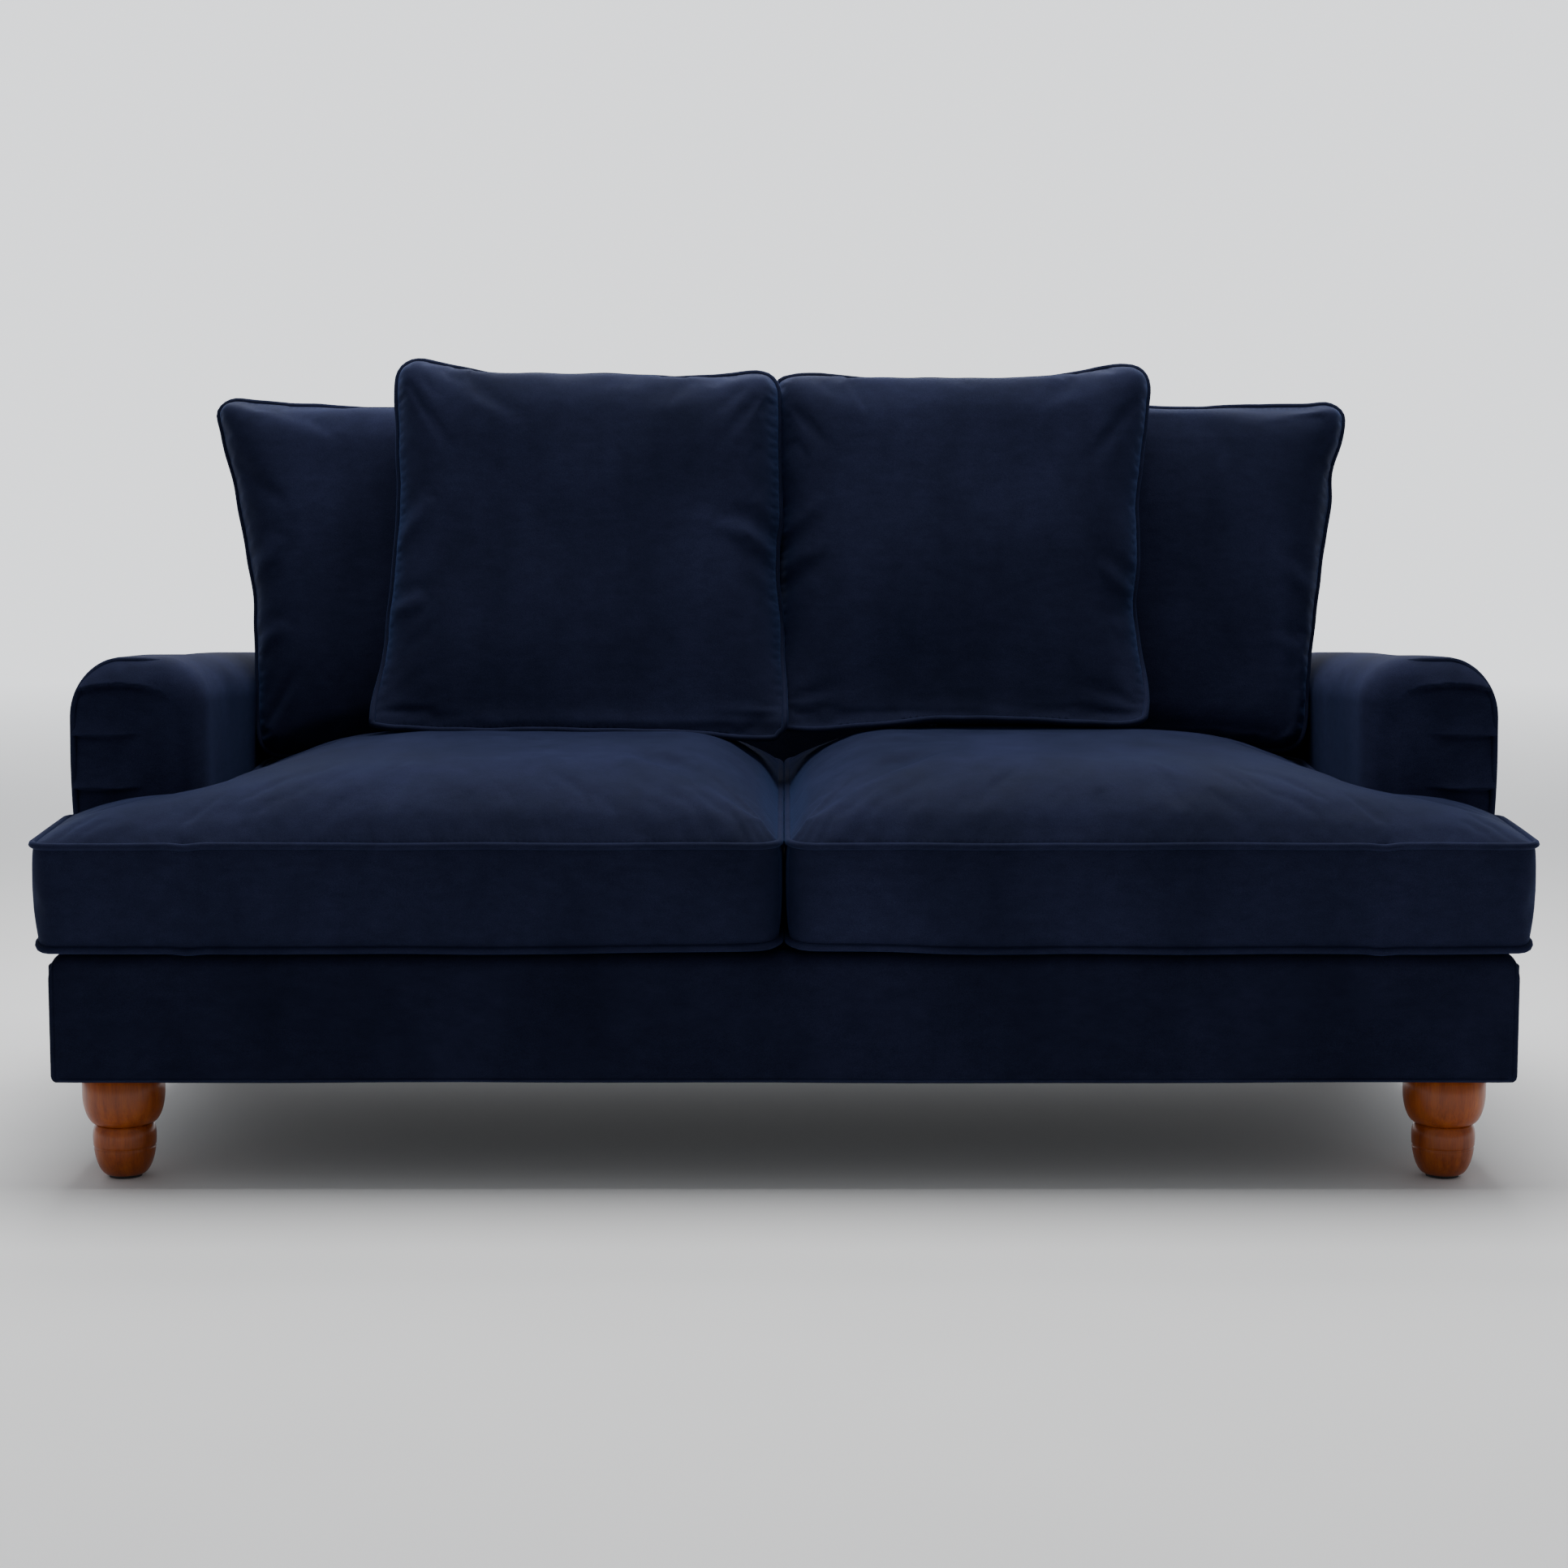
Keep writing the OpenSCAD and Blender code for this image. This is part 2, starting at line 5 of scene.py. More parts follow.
import bpy
import bmesh
import numpy as np
from mathutils import Matrix, Vector, noise
from mathutils.geometry import delaunay_2d_cdt


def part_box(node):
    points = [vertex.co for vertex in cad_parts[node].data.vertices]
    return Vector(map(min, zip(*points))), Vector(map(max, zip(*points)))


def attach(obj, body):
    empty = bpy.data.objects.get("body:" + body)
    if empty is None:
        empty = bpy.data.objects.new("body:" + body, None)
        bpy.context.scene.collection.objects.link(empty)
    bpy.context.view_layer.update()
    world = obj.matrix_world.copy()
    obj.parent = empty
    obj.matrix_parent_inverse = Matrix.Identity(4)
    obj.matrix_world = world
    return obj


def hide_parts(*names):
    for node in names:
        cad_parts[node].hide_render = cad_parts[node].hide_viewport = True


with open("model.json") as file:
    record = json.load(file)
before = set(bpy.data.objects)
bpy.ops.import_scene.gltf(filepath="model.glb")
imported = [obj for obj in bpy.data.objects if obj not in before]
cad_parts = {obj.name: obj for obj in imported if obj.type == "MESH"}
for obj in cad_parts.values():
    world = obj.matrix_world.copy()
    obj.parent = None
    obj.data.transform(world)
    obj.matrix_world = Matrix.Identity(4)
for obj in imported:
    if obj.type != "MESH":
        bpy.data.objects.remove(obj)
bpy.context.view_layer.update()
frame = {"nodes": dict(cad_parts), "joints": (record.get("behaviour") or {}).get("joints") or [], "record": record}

# ---- Measures from the frame ----


def low(name):
    """The lowest corner of a CAD node's box."""
    return Vector(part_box(name)[0])


def high(name):
    """The highest corner of a CAD node's box."""
    return Vector(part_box(name)[1])


JOINTS = {joint["name"]: joint for joint in frame["joints"]}
LIFT = Vector(JOINTS["back_inner_left_lifts_off"]["axis"])
PULL = Vector(JOINTS["seat_left_pulls_out"]["axis"])
RAKE = math.atan2(LIFT.y, LIFT.z)  # lean of the back cushions from upright
TILT = math.atan2(-PULL.z, -PULL.y)  # slope of the seat, rising to the back

FRONT_Y = low("seat_piping_left").y
BASE_LOW = low("front_border")
BASE_HIGH = high("front_border")
RAIL_TOP = high("side_rails").z
BACK_Y = high("back_panel").y
ARM_INNER = -high("arm_shell_left").x
ARM_OUTER = -low("arm_shell_left").x
ARM_FRONT = low("arm_facing_left").y
ARM_TOP = high("arm_shell_left").z
PIPING = 0.0045  # radius of the piping
SIDES = ("left", "right")

# ---- Materials ----


def set_all(made, **values):
    """Sets a node's own inputs, which are the same all over the surface; each _ in a name stands for a space."""
    for key, value in values.items():
        made.inputs[key.replace("_", " ")].default_value = value


def node(tree, kind, settings=None, **inputs):
    """A new node with those settings and inputs."""
    made = tree.nodes.new(kind)
    for key, value in (settings or {}).items():
        setattr(made, key, value)
    set_all(made, **inputs)
    return made


def coordinates(tree, scale):
    """Object coordinates in metres, multiplied by scale."""
    where = node(tree, "ShaderNodeTexCoord")
    mapping = node(tree, "ShaderNodeMapping", Scale=scale)
    tree.links.new(where.outputs["Object"], mapping.inputs["Vector"])
    return mapping.outputs["Vector"]


def noise_value(tree, vector, scale, detail, roughness=0.5):
    """A noise texture's value."""
    made = node(tree, "ShaderNodeTexNoise", Scale=scale, Detail=detail, Roughness=roughness)
    tree.links.new(vector, made.inputs["Vector"])
    return made.outputs["Fac"]


def ramp(tree, value, *stops):
    """A colour ramp with a stop for each (position, colour)."""
    made = node(tree, "ShaderNodeValToRGB")
    elements = made.color_ramp.elements
    while len(elements) < len(stops):
        elements.new(0.5)
    for element, (position, colour) in zip(elements, stops):
        element.position = position
        element.color = (*colour, 1)
    tree.links.new(value, made.inputs["Fac"])
    return made.outputs["Color"]


def spread(tree, value, low_out, high_out, low_in=0.3, high_in=0.7):
    """Maps a value from one range to another."""
    made = node(tree, "ShaderNodeMapRange", From_Min=low_in, From_Max=high_in, To_Min=low_out, To_Max=high_out)
    tree.links.new(value, made.inputs["Value"])
    return made.outputs["Result"]


def multiply(tree, colour, value):
    """The colour made lighter or darker by a value."""
    made = node(tree, "ShaderNodeMix", {"data_type": "RGBA", "blend_type": "MULTIPLY"}, Factor=1.0)
    tree.links.new(colour, made.inputs["A"])
    tree.links.new(value, made.inputs["B"])
    return made.outputs["Result"]


def bump(tree, shader, *layers):
    """Stacks bumps, each a (height, strength, distance)."""
    below = None
    for height, strength, distance in layers:
        made = node(tree, "ShaderNodeBump", Strength=strength, Distance=distance)
        tree.links.new(height, made.inputs["Height"])
        if below:
            tree.links.new(below, made.inputs["Normal"])
        below = made.outputs["Normal"]
    tree.links.new(below, shader.inputs["Normal"])


def surface(name, noises, stops, shades, roughness, bumps, cells=None, **settings):
    """A procedural material.

    noises: by name, each (stretch of the coordinates, scale, detail, roughness).
    stops: a noise's name and the colours of its ramp; shades: what the colour is multiplied by, each a value's
    name and its range; roughness: a noise's name and the range; bumps: each (value's name, strength, distance).
    cells: a texture besides the noises, as (name, kind, scale, output).
    """
    material = bpy.data.materials.new(name)
    material.use_nodes = True
    tree = material.node_tree
    shader = tree.nodes["Principled BSDF"]
    values = {}
    for key, (stretch, *numbers) in noises.items():
        values[key] = noise_value(tree, coordinates(tree, stretch), *numbers)
    if cells:
        key, kind, scale, output = cells
        texture = node(tree, kind, Scale=scale)
        tree.links.new(coordinates(tree, EVEN), texture.inputs["Vector"])
        values[key] = texture.outputs[output]
    colour = ramp(tree, values[stops[0]], *stops[1:])
    for key, *numbers in shades:
        colour = multiply(tree, colour, spread(tree, values[key], *numbers))
    tree.links.new(colour, shader.inputs["Base Color"])
    tree.links.new(spread(tree, values[roughness[0]], *roughness[1:]), shader.inputs["Roughness"])
    set_all(shader, **settings)
    bump(tree, shader, *[(values[key], *numbers) for key, *numbers in bumps])
    return material


EVEN = (1, 1, 1)  # coordinates that aren't stretched
NAVY_DARK = (0.0082, 0.0099, 0.0245)
NAVY_LIGHT = (0.0163, 0.0192, 0.047)
SHEEN_BLUE = (0.18, 0.31, 0.84, 1)


def velvet(name, depth, sheen):
    """Short-pile velvet: brushed patches, a fine pile grain, and a blue sheen at grazing angles."""
    dark, light = ([depth * c for c in colour] for colour in (NAVY_DARK, NAVY_LIGHT))
    return surface(
        name,
        {"patches": ((1, 1, 0.45), 6.0, 4.0, 0.55), "pile": (EVEN, 1100.0, 1.0), "tufts": (EVEN, 220.0, 3.0, 0.6),
         "mottle": ((1, 1, 2.2), 34.0, 5.0, 0.68)},
        ("patches", (0.32, dark), (0.7, light)), [("mottle", 0.84, 1.14), ("pile", 0.72, 1.2)], ("patches", 0.78, 0.94),
        [("patches", 0.2, 0.002), ("tufts", 0.3, 0.0006), ("pile", 0.3, 0.0003)],
        Specular_IOR_Level=0.1, Specular_Tint=(0.35, 0.5, 1.0, 1),
        Sheen_Weight=sheen, Sheen_Roughness=0.42, Sheen_Tint=SHEEN_BLUE)


def soft_fill(name, dark, light, density):
    """Foam or fibre: a soft pale mass with open cells of that density."""
    return surface(
        name, {"cloud": (EVEN, 12.0, 3.0)}, ("cloud", (0.3, dark), (0.7, light)), [("cells", 0.8, 1.05, 0, 0.6)],
        ("cloud", 0.85, 0.98), [("cells", 0.4, 0.0008)], cells=("cells", "ShaderNodeTexVoronoi", density, "Distance"))


UP_THE_FOOT, ALONG_THE_RAIL = (1, 1, 0.09), (0.12, 1, 1)  # how the grain of the wood is drawn out
SLOT_MATERIAL = {
    "velvet": velvet("velvet", 1.0, 0.12),
    "piping_velvet": velvet("piping_velvet", 1.0, 0.12),
    # golden-brown stained hardwood under a satin lacquer
    "stained_wood": surface(
        "stained_wood",
        {"bands": (UP_THE_FOOT, 90.0, 5.0, 0.6), "pores": (UP_THE_FOOT, 700.0, 2.0), "cloud": (EVEN, 14.0, 2.0)},
        ("bands", (0.3, (0.22, 0.036, 0.001)), (0.52, (0.31, 0.06, 0.002)), (0.75, (0.4, 0.092, 0.004))),
        [("pores", 0.8, 1.1), ("cloud", 0.85, 1.12)], ("bands", 0.3, 0.42),
        [("bands", 0.05, 0.0006), ("pores", 0.06, 0.0002)],
        Specular_IOR_Level=0.3, Coat_Weight=0.25, Coat_Roughness=0.16),
    "frame_timber": surface(
        "frame_timber", {"rings": (ALONG_THE_RAIL, 60.0, 4.0, 0.6), "fibre": (ALONG_THE_RAIL, 600.0, 2.0)},
        ("rings", (0.3, (0.42, 0.26, 0.12)), (0.7, (0.66, 0.47, 0.26))), [("fibre", 0.85, 1.1)], ("rings", 0.6, 0.8),
        [("rings", 0.15, 0.0008), ("fibre", 0.2, 0.0003)]),
    # plain weave, its threads 1.6 mm apart
    "black_lining": surface(
        "black_lining", {"slub": (EVEN, 300.0, 3.0)},
        ("slub", (0.3, (0.012, 0.012, 0.014)), (0.7, (0.03, 0.03, 0.033))), [("threads", 0.75, 1.1, 0, 1)],
        ("slub", 0.75, 0.95), [("threads", 0.3, 0.0003), ("slub", 0.2, 0.0003)],
        cells=("threads", "ShaderNodeTexChecker", 1 / 0.0016, "Fac")),
    "foam": soft_fill("foam", (0.62, 0.55, 0.36), (0.78, 0.72, 0.52), 700.0),
    "fibre": soft_fill("fibre", (0.75, 0.75, 0.73), (0.88, 0.88, 0.86), 260.0),
    "plated_steel": surface(
        "plated_steel", {"stain": (EVEN, 40.0, 4.0), "scratch": ((1, 1, 0.05), 900.0, 1.0)},
        ("stain", (0.3, (0.52, 0.52, 0.5)), (0.7, (0.72, 0.72, 0.7))), [], ("stain", 0.3, 0.48),
        [("scratch", 0.08, 0.0002)], Metallic=1.0),
    "glide_plastic": surface(
        "glide_plastic", {"texture": (EVEN, 500.0, 2.0), "cloud": (EVEN, 30.0, 2.0)},
        ("cloud", (0.3, (0.018, 0.018, 0.02)), (0.7, (0.04, 0.04, 0.042))), [], ("texture", 0.45, 0.65),
        [("texture", 0.15, 0.0003)]),
}
PAINTED_SHADE_VELVET = velvet("velvet_painted_shade_low", 0.7, 0.06)  # the same velvet made darker for the base, the side borders and the lower back: painted shade, as under the seats' overhang
ARM_VELVET_PAINTED_LIGHT = velvet("velvet_arm_painted_light", 1.25, 0.035)  # the same velvet on the arms with less sheen, its colour made lighter: painted light on the arm tops in place of the sheen


def dress_cad_nodes():
    """Each CAD node gets its slot's material, also those that a piece stands for."""
    slots = {part["node"]: part["material_slot"] for part in frame["record"]["subparts"]}
    for name, obj in frame["nodes"].items():
        for slot in obj.material_slots:
            slot.material = SLOT_MATERIAL[slots[name]]


# ---- Shapes ----


def new_piece(name, points, faces, slot, body, *nodes):
    """A smooth mesh in that slot's material, which rides on a body and stands for those CAD nodes."""
    mesh = bpy.data.meshes.new(name)
    mesh.from_pydata([tuple(p) for p in points], [], faces)
    mesh.validate()
    mesh.materials.append(SLOT_MATERIAL[slot])
    mesh.polygons.foreach_set("use_smooth", [True] * len(mesh.polygons))
    obj = bpy.data.objects.new(name, mesh)
    bpy.context.scene.collection.objects.link(obj)
    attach(obj, body)
    if nodes:
        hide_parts(*nodes)
    return obj


def points_of(obj, what="co"):
    """The mesh's points, or their normals."""
    flat = np.empty(len(obj.data.vertices) * 3)
    obj.data.vertices.foreach_get(what, flat)
    return flat.reshape(-1, 3)


def set_points(obj, points):
    obj.data.vertices.foreach_set("co", np.asarray(points).ravel())
    obj.data.update()


def inward_points(obj, depth):
    """The mesh's points, each moved into the piece by that depth."""
    return points_of(obj) - depth * points_of(obj, "normal")


def put(points, matrix, mirrored):
    """Places points given in a piece's own frame, for the sofa's other half if mirrored."""
    placed = np.array([tuple(matrix @ Vector(p)) for p in points])
    if mirrored:
        placed[:, 0] *= -1
    return placed


def tidy_mesh(obj, nearest=0.0001):
    """Joins points that lie on each other and turns all faces outwards."""
    work = bmesh.new()
    work.from_mesh(obj.data)
    bmesh.ops.remove_doubles(work, verts=work.verts, dist=nearest)
    bmesh.ops.recalc_face_normals(work, faces=work.faces)
    work.to_mesh(obj.data)
    work.free()


def noise_at(*where):
    """Smooth noise at a point, between -1 and 1."""
    return noise.noise(Vector(where))


def smooth_step(a, b, x):
    """Rises smoothly from 0 at a to 1 at b."""
    t = min(max((x - a) / (b - a), 0.0), 1.0)
    return t * t * (3 - 2 * t)


def bent_back(radius, distance):
    """How far a rounded edge has bent back at that distance in from the outline."""
    return radius - math.sqrt(max(radius * radius - max(radius - distance, 0) ** 2, 0))


def normals(ring):
    """Level directions out of a closed loop of points, which runs anticlockwise."""
    tangent = np.roll(ring, -1, axis=0) - np.roll(ring, 1, axis=0)
    out = np.stack([tangent[:, 1], -tangent[:, 0]], axis=1)
    return out / np.linalg.norm(out, axis=1)[:, None]


def skin(rows, count, ring=True, loop=False):
    """Quads between rows of count points: each row may be a ring, and the last row may join the first."""
    faces = []
    for row in range(rows if loop else rows - 1):
        here, there = row * count, (row + 1) % rows * count
        for i in range(count if ring else count - 1):
            j = (i + 1) % count
            faces.append((here + i, here + j, there + j, there + i))
    return faces


def even(path, spacing, closed=True):
    """The path again, with its points evenly spaced."""
    path = np.asarray(path, float)
    if closed:
        path = np.vstack([path, path[:1]])
    steps = np.linalg.norm(np.diff(path, axis=0), axis=1)
    along = np.concatenate([[0], np.cumsum(steps)])
    count = max(int(round(along[-1] / spacing)), 4)
    at = np.linspace(0, along[-1], count + 1)
    if closed:
        at = at[:-1]
    return np.stack([np.interp(at, along, path[:, k]) for k in range(path.shape[1])], axis=1)


ARC_STEPS = 16  # steps round a rounded corner
SPLINE_STEPS = 24  # and from one control point of a spline to the next


def rounded(corners, radii, spacing):
    """A closed outline with rounded corners, its points evenly spaced."""
    path = []
    count = len(corners)
    for i, (corner, radius) in enumerate(zip(corners, radii)):
        p = Vector(corner)
        u = (Vector(corners[i - 1]) - p).normalized()
        v = (Vector(corners[(i + 1) % count]) - p).normalized()
        half = math.acos(max(-1, min(1, u.dot(v)))) / 2
        centre = p + (u + v).normalized() * (radius / math.sin(half))
        start = p + u * (radius / math.tan(half)) - centre
        end = p + v * (radius / math.tan(half)) - centre
        a = math.atan2(start.y, start.x)
        turn = (math.atan2(end.y, end.x) - a + math.pi) % (2 * math.pi) - math.pi
        for k in range(ARC_STEPS + 1):
            b = a + turn * k / ARC_STEPS
            path.append((centre.x + radius * math.cos(b), centre.y + radius * math.sin(b)))
    return even(path, spacing)


def spline(controls, spacing):
    """A smooth closed curve through its control points, evenly spaced."""
    controls = np.asarray(controls, float)
    count = len(controls)
    path = []
    for i in range(count):
        a, b, c, d = (controls[(i + k) % count] for k in (-1, 0, 1, 2))
        for t in np.linspace(0, 1, SPLINE_STEPS, endpoint=False):
            square, cube = 2 * a - 5 * b + 4 * c - d, 3 * b - a - 3 * c + d
            path.append(0.5 * (2 * b + (c - a) * t + square * t**2 + cube * t**3))
    return even(path, spacing)


def edge_distance(points, outline):
    """How far each flat point lies from a closed outline."""
    points = np.asarray(points, float)[:, None, :2]
    a = np.asarray(outline, float)[None, :, :2]
    ab = np.roll(a, -1, axis=1) - a
    t = np.clip(((points - a) * ab).sum(-1) / (ab * ab).sum(-1), 0, 1)
    return np.sqrt((((a + ab * t[..., None]) - points) ** 2).sum(-1)).min(1)


def soft_distance(points, outline):
    """The distance from a closed outline, but smooth across its corners' diagonals and its middle."""
    step, batch = 0.003, 512
    ring = even(outline, step)
    total = np.zeros(len(points))
    for start in range(0, len(points), batch):
        part = np.asarray(points[start:start + batch], float)[:, None, :2]
        gap = np.sqrt(((part - ring[None]) ** 2).sum(-1))
        total[start:start + batch] = (step / np.maximum(gap, 1e-6) ** 3).sum(1)
    return np.minimum(np.sqrt(2 / total), 1.02 * edge_distance(points, outline))


def inside(points, outline):
    """Which flat points lie inside a closed outline."""
    x, y = np.asarray(points, float)[:, 0, None], np.asarray(points, float)[:, 1, None]
    a = np.asarray(outline, float)[None, :, :2]
    b = np.roll(a, -1, axis=1)
    crosses = (a[..., 1] > y) != (b[..., 1] > y)
    slope = (b[..., 0] - a[..., 0]) / np.where(b[..., 1] == a[..., 1], 1, b[..., 1] - a[..., 1])
    return (crosses & (x < a[..., 0] + slope * (y - a[..., 1]))).sum(1) % 2 == 1


def fill_outline(outline, spacing):
    """Triangles that fill an outline: its own points first, then a lattice of points inside it."""
    outline = np.asarray(outline, float)
    lowest, highest = outline.min(0), outline.max(0)
    row_gap = spacing * math.sqrt(3) / 2
    lattice = []
    for row in range(int((highest[1] - lowest[1]) / row_gap) + 1):
        y = lowest[1] + row * row_gap
        shift = spacing / 2 if row % 2 else 0
        for column in range(int((highest[0] - lowest[0]) / spacing) + 1):
            lattice.append((lowest[0] + shift + column * spacing, y))
    lattice = np.array(lattice)
    lattice = lattice[inside(lattice, outline)]
    lattice = lattice[edge_distance(lattice, outline) > 0.62 * spacing]
    flat = [Vector(p) for p in np.vstack([outline, lattice])]
    points, _, faces, *_ = delaunay_2d_cdt(flat, [], [list(range(len(outline)))], 1, 1e-7)
    return np.array([tuple(v) for v in points]), [tuple(f) for f in faces]


def tube(name, path, radius, body, *nodes, closed=True, sides=10):
    """A round cord in velvet along a path."""
    path = np.asarray(path, float)
    count = len(path)
    if closed:
        tangent = np.roll(path, -1, axis=0) - np.roll(path, 1, axis=0)
    else:
        tangent = np.gradient(path, axis=0)
    tangent /= np.linalg.norm(tangent, axis=1)[:, None]
    side = np.cross(tangent[0], (0.0, 0.0, 1.0))
    if np.linalg.norm(side) < 0.1:
        side = np.cross(tangent[0], (0.0, 1.0, 0.0))
    u = []
    for t in tangent:
        side = side - t * side.dot(t)
        side /= np.linalg.norm(side)
        u.append(side)
    u = np.array(u)
    if closed:
        last = u[-1] - tangent[0] * u[-1].dot(tangent[0])
        last /= np.linalg.norm(last)
        twist = math.atan2(np.cross(last, u[0]).dot(tangent[0]), last.dot(u[0]))
    else:
        twist = 0.0
    v = np.cross(tangent, u)
    points = []
    for i in range(count):
        extra = twist * i / count
        for k in range(sides):
            a = 2 * math.pi * k / sides + extra
            points.append(path[i] + radius * (u[i] * math.cos(a) + v[i] * math.sin(a)))
    faces = skin(count, sides, loop=closed)
    if not closed:
        faces.append(tuple(range(sides))[::-1])
        faces.append(tuple((count - 1) * sides + k for k in range(sides)))
    new_piece(name, points, faces, "piping_velvet", body, *nodes)


def soft_box(name, lowest, highest, radius, spacing, *nodes, puff, ripple, seed=0.0):
    """An upholstered block: rounded by radius along each axis, its faces swollen by puff, with a slight ripple."""
    lowest, highest = np.array(lowest, float), np.array(highest, float)
    radius = np.minimum(np.array(radius, float), (highest - lowest) / 2 - 1e-5)
    grids = []
    for k in range(3):
        inner = np.linspace(lowest[k] + radius[k], highest[k] - radius[k],
                            max(int((highest[k] - lowest[k] - 2 * radius[k]) / spacing), 1) + 1)
        fan = np.sin(np.linspace(0, math.pi / 2, 4, endpoint=False)[1:])
        grids.append(np.concatenate([[lowest[k]], lowest[k] + radius[k] * fan, inner,
                                     highest[k] - radius[k] * fan[::-1], [highest[k]]]))
    counts = [len(g) for g in grids]
    index = {}
    points = []

    def at(i, j, k):
        key = (i, j, k)
        if key not in index:
            index[key] = len(points)
            points.append((grids[0][i], grids[1][j], grids[2][k]))
        return index[key]

    faces = []
    for axis in range(3):
        a, b = [k for k in range(3) if k != axis]
        for end in (0, counts[axis] - 1):
            for p in range(counts[a] - 1):
                for q in range(counts[b] - 1):
                    quad = []
                    for dp, dq in ((0, 0), (1, 0), (1, 1), (0, 1)):
                        key = [0, 0, 0]
                        key[axis], key[a], key[b] = end, p + dp, q + dq
                        quad.append(at(*key))
                    if (end == 0) == (axis != 1):
                        quad.reverse()
                    faces.append(tuple(quad))
    points = np.array(points)
    core = np.clip(points, lowest + radius, highest - radius)
    out = (points - core) / radius
    length = np.linalg.norm(out, axis=1)[:, None]
    points = core + radius * out / length
    middle, half = (lowest + highest) / 2, (highest - lowest) / 2
    rel = np.clip((points - middle) / half, -1, 1)
    for k in range(3):
        a, b = [m for m in range(3) if m != k]
        swell = (1 - rel[:, a] ** 4) * (1 - rel[:, b] ** 4)
        points[:, k] += np.sign(rel[:, k]) * np.abs(rel[:, k]) ** 6 * puff[k] * swell
    for i, p in enumerate(points):
        points[i] += (out[i] / length[i]) * noise_at(*(Vector(p) * 6 + Vector((seed, 0, 0)))) * ripple
    return new_piece(name, points, faces, "velvet", "sofa_frame", *nodes)


CLOTH_FRAMES = 20


def inflate(obj, pinned, slack, cap):
    """Blows a sewn cover up with Cloth: its seams hold, its cloth is a little slack, no point moves over cap."""
    start = points_of(obj)
    group = obj.vertex_groups.new(name="seam")
    group.add([int(i) for i in pinned], 1.0, "REPLACE")
    cloth = obj.modifiers.new("cloth", "CLOTH")
    settings = cloth.settings
    settings.quality = 6
    settings.mass = 0.3
    settings.tension_stiffness = 20
    settings.compression_stiffness = 20
    settings.shear_stiffness = 10
    settings.bending_stiffness = 0.7
    settings.use_pressure = True
    settings.uniform_pressure_force = 3.0
    settings.effector_weights.gravity = 0
    settings.vertex_group_mass = "seam"
    settings.shrink_min = -slack
    cloth.collision_settings.use_collision = False
    cloth.point_cache.frame_start = 1
    cloth.point_cache.frame_end = CLOTH_FRAMES
    scene = bpy.context.scene
    for number in range(1, CLOTH_FRAMES + 1):
        scene.frame_set(number)
    move = points_of(obj.evaluated_get(bpy.context.evaluated_depsgraph_get())) - start
    obj.modifiers.remove(cloth)
    obj.vertex_groups.remove(group)
    scene.frame_set(1)
    far = np.linalg.norm(move, axis=1)
    limit = cap * np.tanh(far / cap) / np.maximum(far, 1e-9)
    set_points(obj, start + move * limit[:, None])


def crease(obj, loops):
    """Keeps the seams along closed loops of points sharp when the mesh is subdivided."""
    edges = {tuple(sorted((loop[i - 1], loop[i]))) for loop in loops for i in range(len(loop))}
    sharp = [1.0 if tuple(sorted(edge.vertices)) in edges else 0.0 for edge in obj.data.edges]
    attribute = obj.data.attributes.new("crease_edge", "FLOAT", "EDGE")
    attribute.data.foreach_set("value", sharp)


def subdivide(obj):
    """Applies one level of subdivision."""
    modifier = obj.modifiers.new("subdivide", "SUBSURF")
    modifier.levels = 1
    modifier.use_limit_surface = False
    evaluated = obj.evaluated_get(bpy.context.evaluated_depsgraph_get())
    mesh = bpy.data.meshes.new_from_object(evaluated)
    obj.modifiers.remove(modifier)
    old = obj.data
    obj.data = mesh
    mesh.name = old.name
    bpy.data.meshes.remove(old)


def shoulder(distance, width):
    """Rises from 0 at an edge to 1 at that distance from it, along a quarter of an ellipse."""
    return np.sqrt(1 - (1 - np.clip(distance / width, 0, 1)) ** 2)


def fold(flat, path, height, width):
    """How far a soft ridge, which fades from the start of a line to its end, lifts each flat point.

    A crease runs beside the ridge, to the other side if width is below 0.
    """
    total = np.zeros(len(flat))
    path = np.asarray(even(path, abs(width) * 0.7, closed=False))
    lengths = np.linspace(0, 1, len(path))
    steps = np.gradient(path, axis=0)
    steps /= np.linalg.norm(steps, axis=1)[:, None]
    gap = np.linalg.norm(flat[:, None, :] - path[None, :, :], axis=2)
    nearest = gap.argmin(1)
    for i in np.where(gap.min(1) < 4 * abs(width))[0]:
        k = nearest[i]
        away = flat[i] - path[k]
        side = steps[k][0] * away[1] - steps[k][1] * away[0]
        beyond = abs(steps[k].dot(away)) if k in (0, len(path) - 1) else 0.0
        fade = (1 - lengths[k]) ** 1.2 * math.exp(-(beyond / width) ** 2)
        total[i] = fade * (math.exp(-(side / width) ** 2) - 0.6 * math.exp(-((side + 1.8 * width) / width) ** 2))
    return total * height


# ---- Zips ----

ZIP_MARGIN = 0.015  # the cover stays flat this far round the slider's run
ZIP_FLANK = 0.5  # how steeply it rises again beyond that
ZIP_DEEPEST = 0.03  # points further in than this belong to the cover's other sides


def bed_zip(points, slider, joint_name, up, sunk):
    """Draws a cover's back in along its zip, so that the slider runs on it, with a gap of sunk below it."""
    along = Vector(JOINTS[joint_name]["axis"]).normalized()
    out = along.cross(up).normalized()
    out = np.array(out if out.y > 0 else -out)
    along = np.array(along)
    up = np.cross(out, along)
    metal = points_of(frame["nodes"][slider])
    start, level = (metal @ along).mean(), (metal @ up).mean()
    end = start + JOINTS[joint_name]["range_m"][1]
    beyond = np.maximum(np.maximum(start - points @ along, points @ along - end) - ZIP_MARGIN, 0)
    aside = np.maximum(np.abs(points @ up - level) - ZIP_MARGIN, 0)
    height = points @ out
    bed = (metal @ out).min() - sunk
    limit = bed + ZIP_FLANK * np.hypot(beyond, aside)
    back = height > bed - ZIP_DEEPEST
    return points - np.outer(np.maximum(height - limit, 0) * back, out)


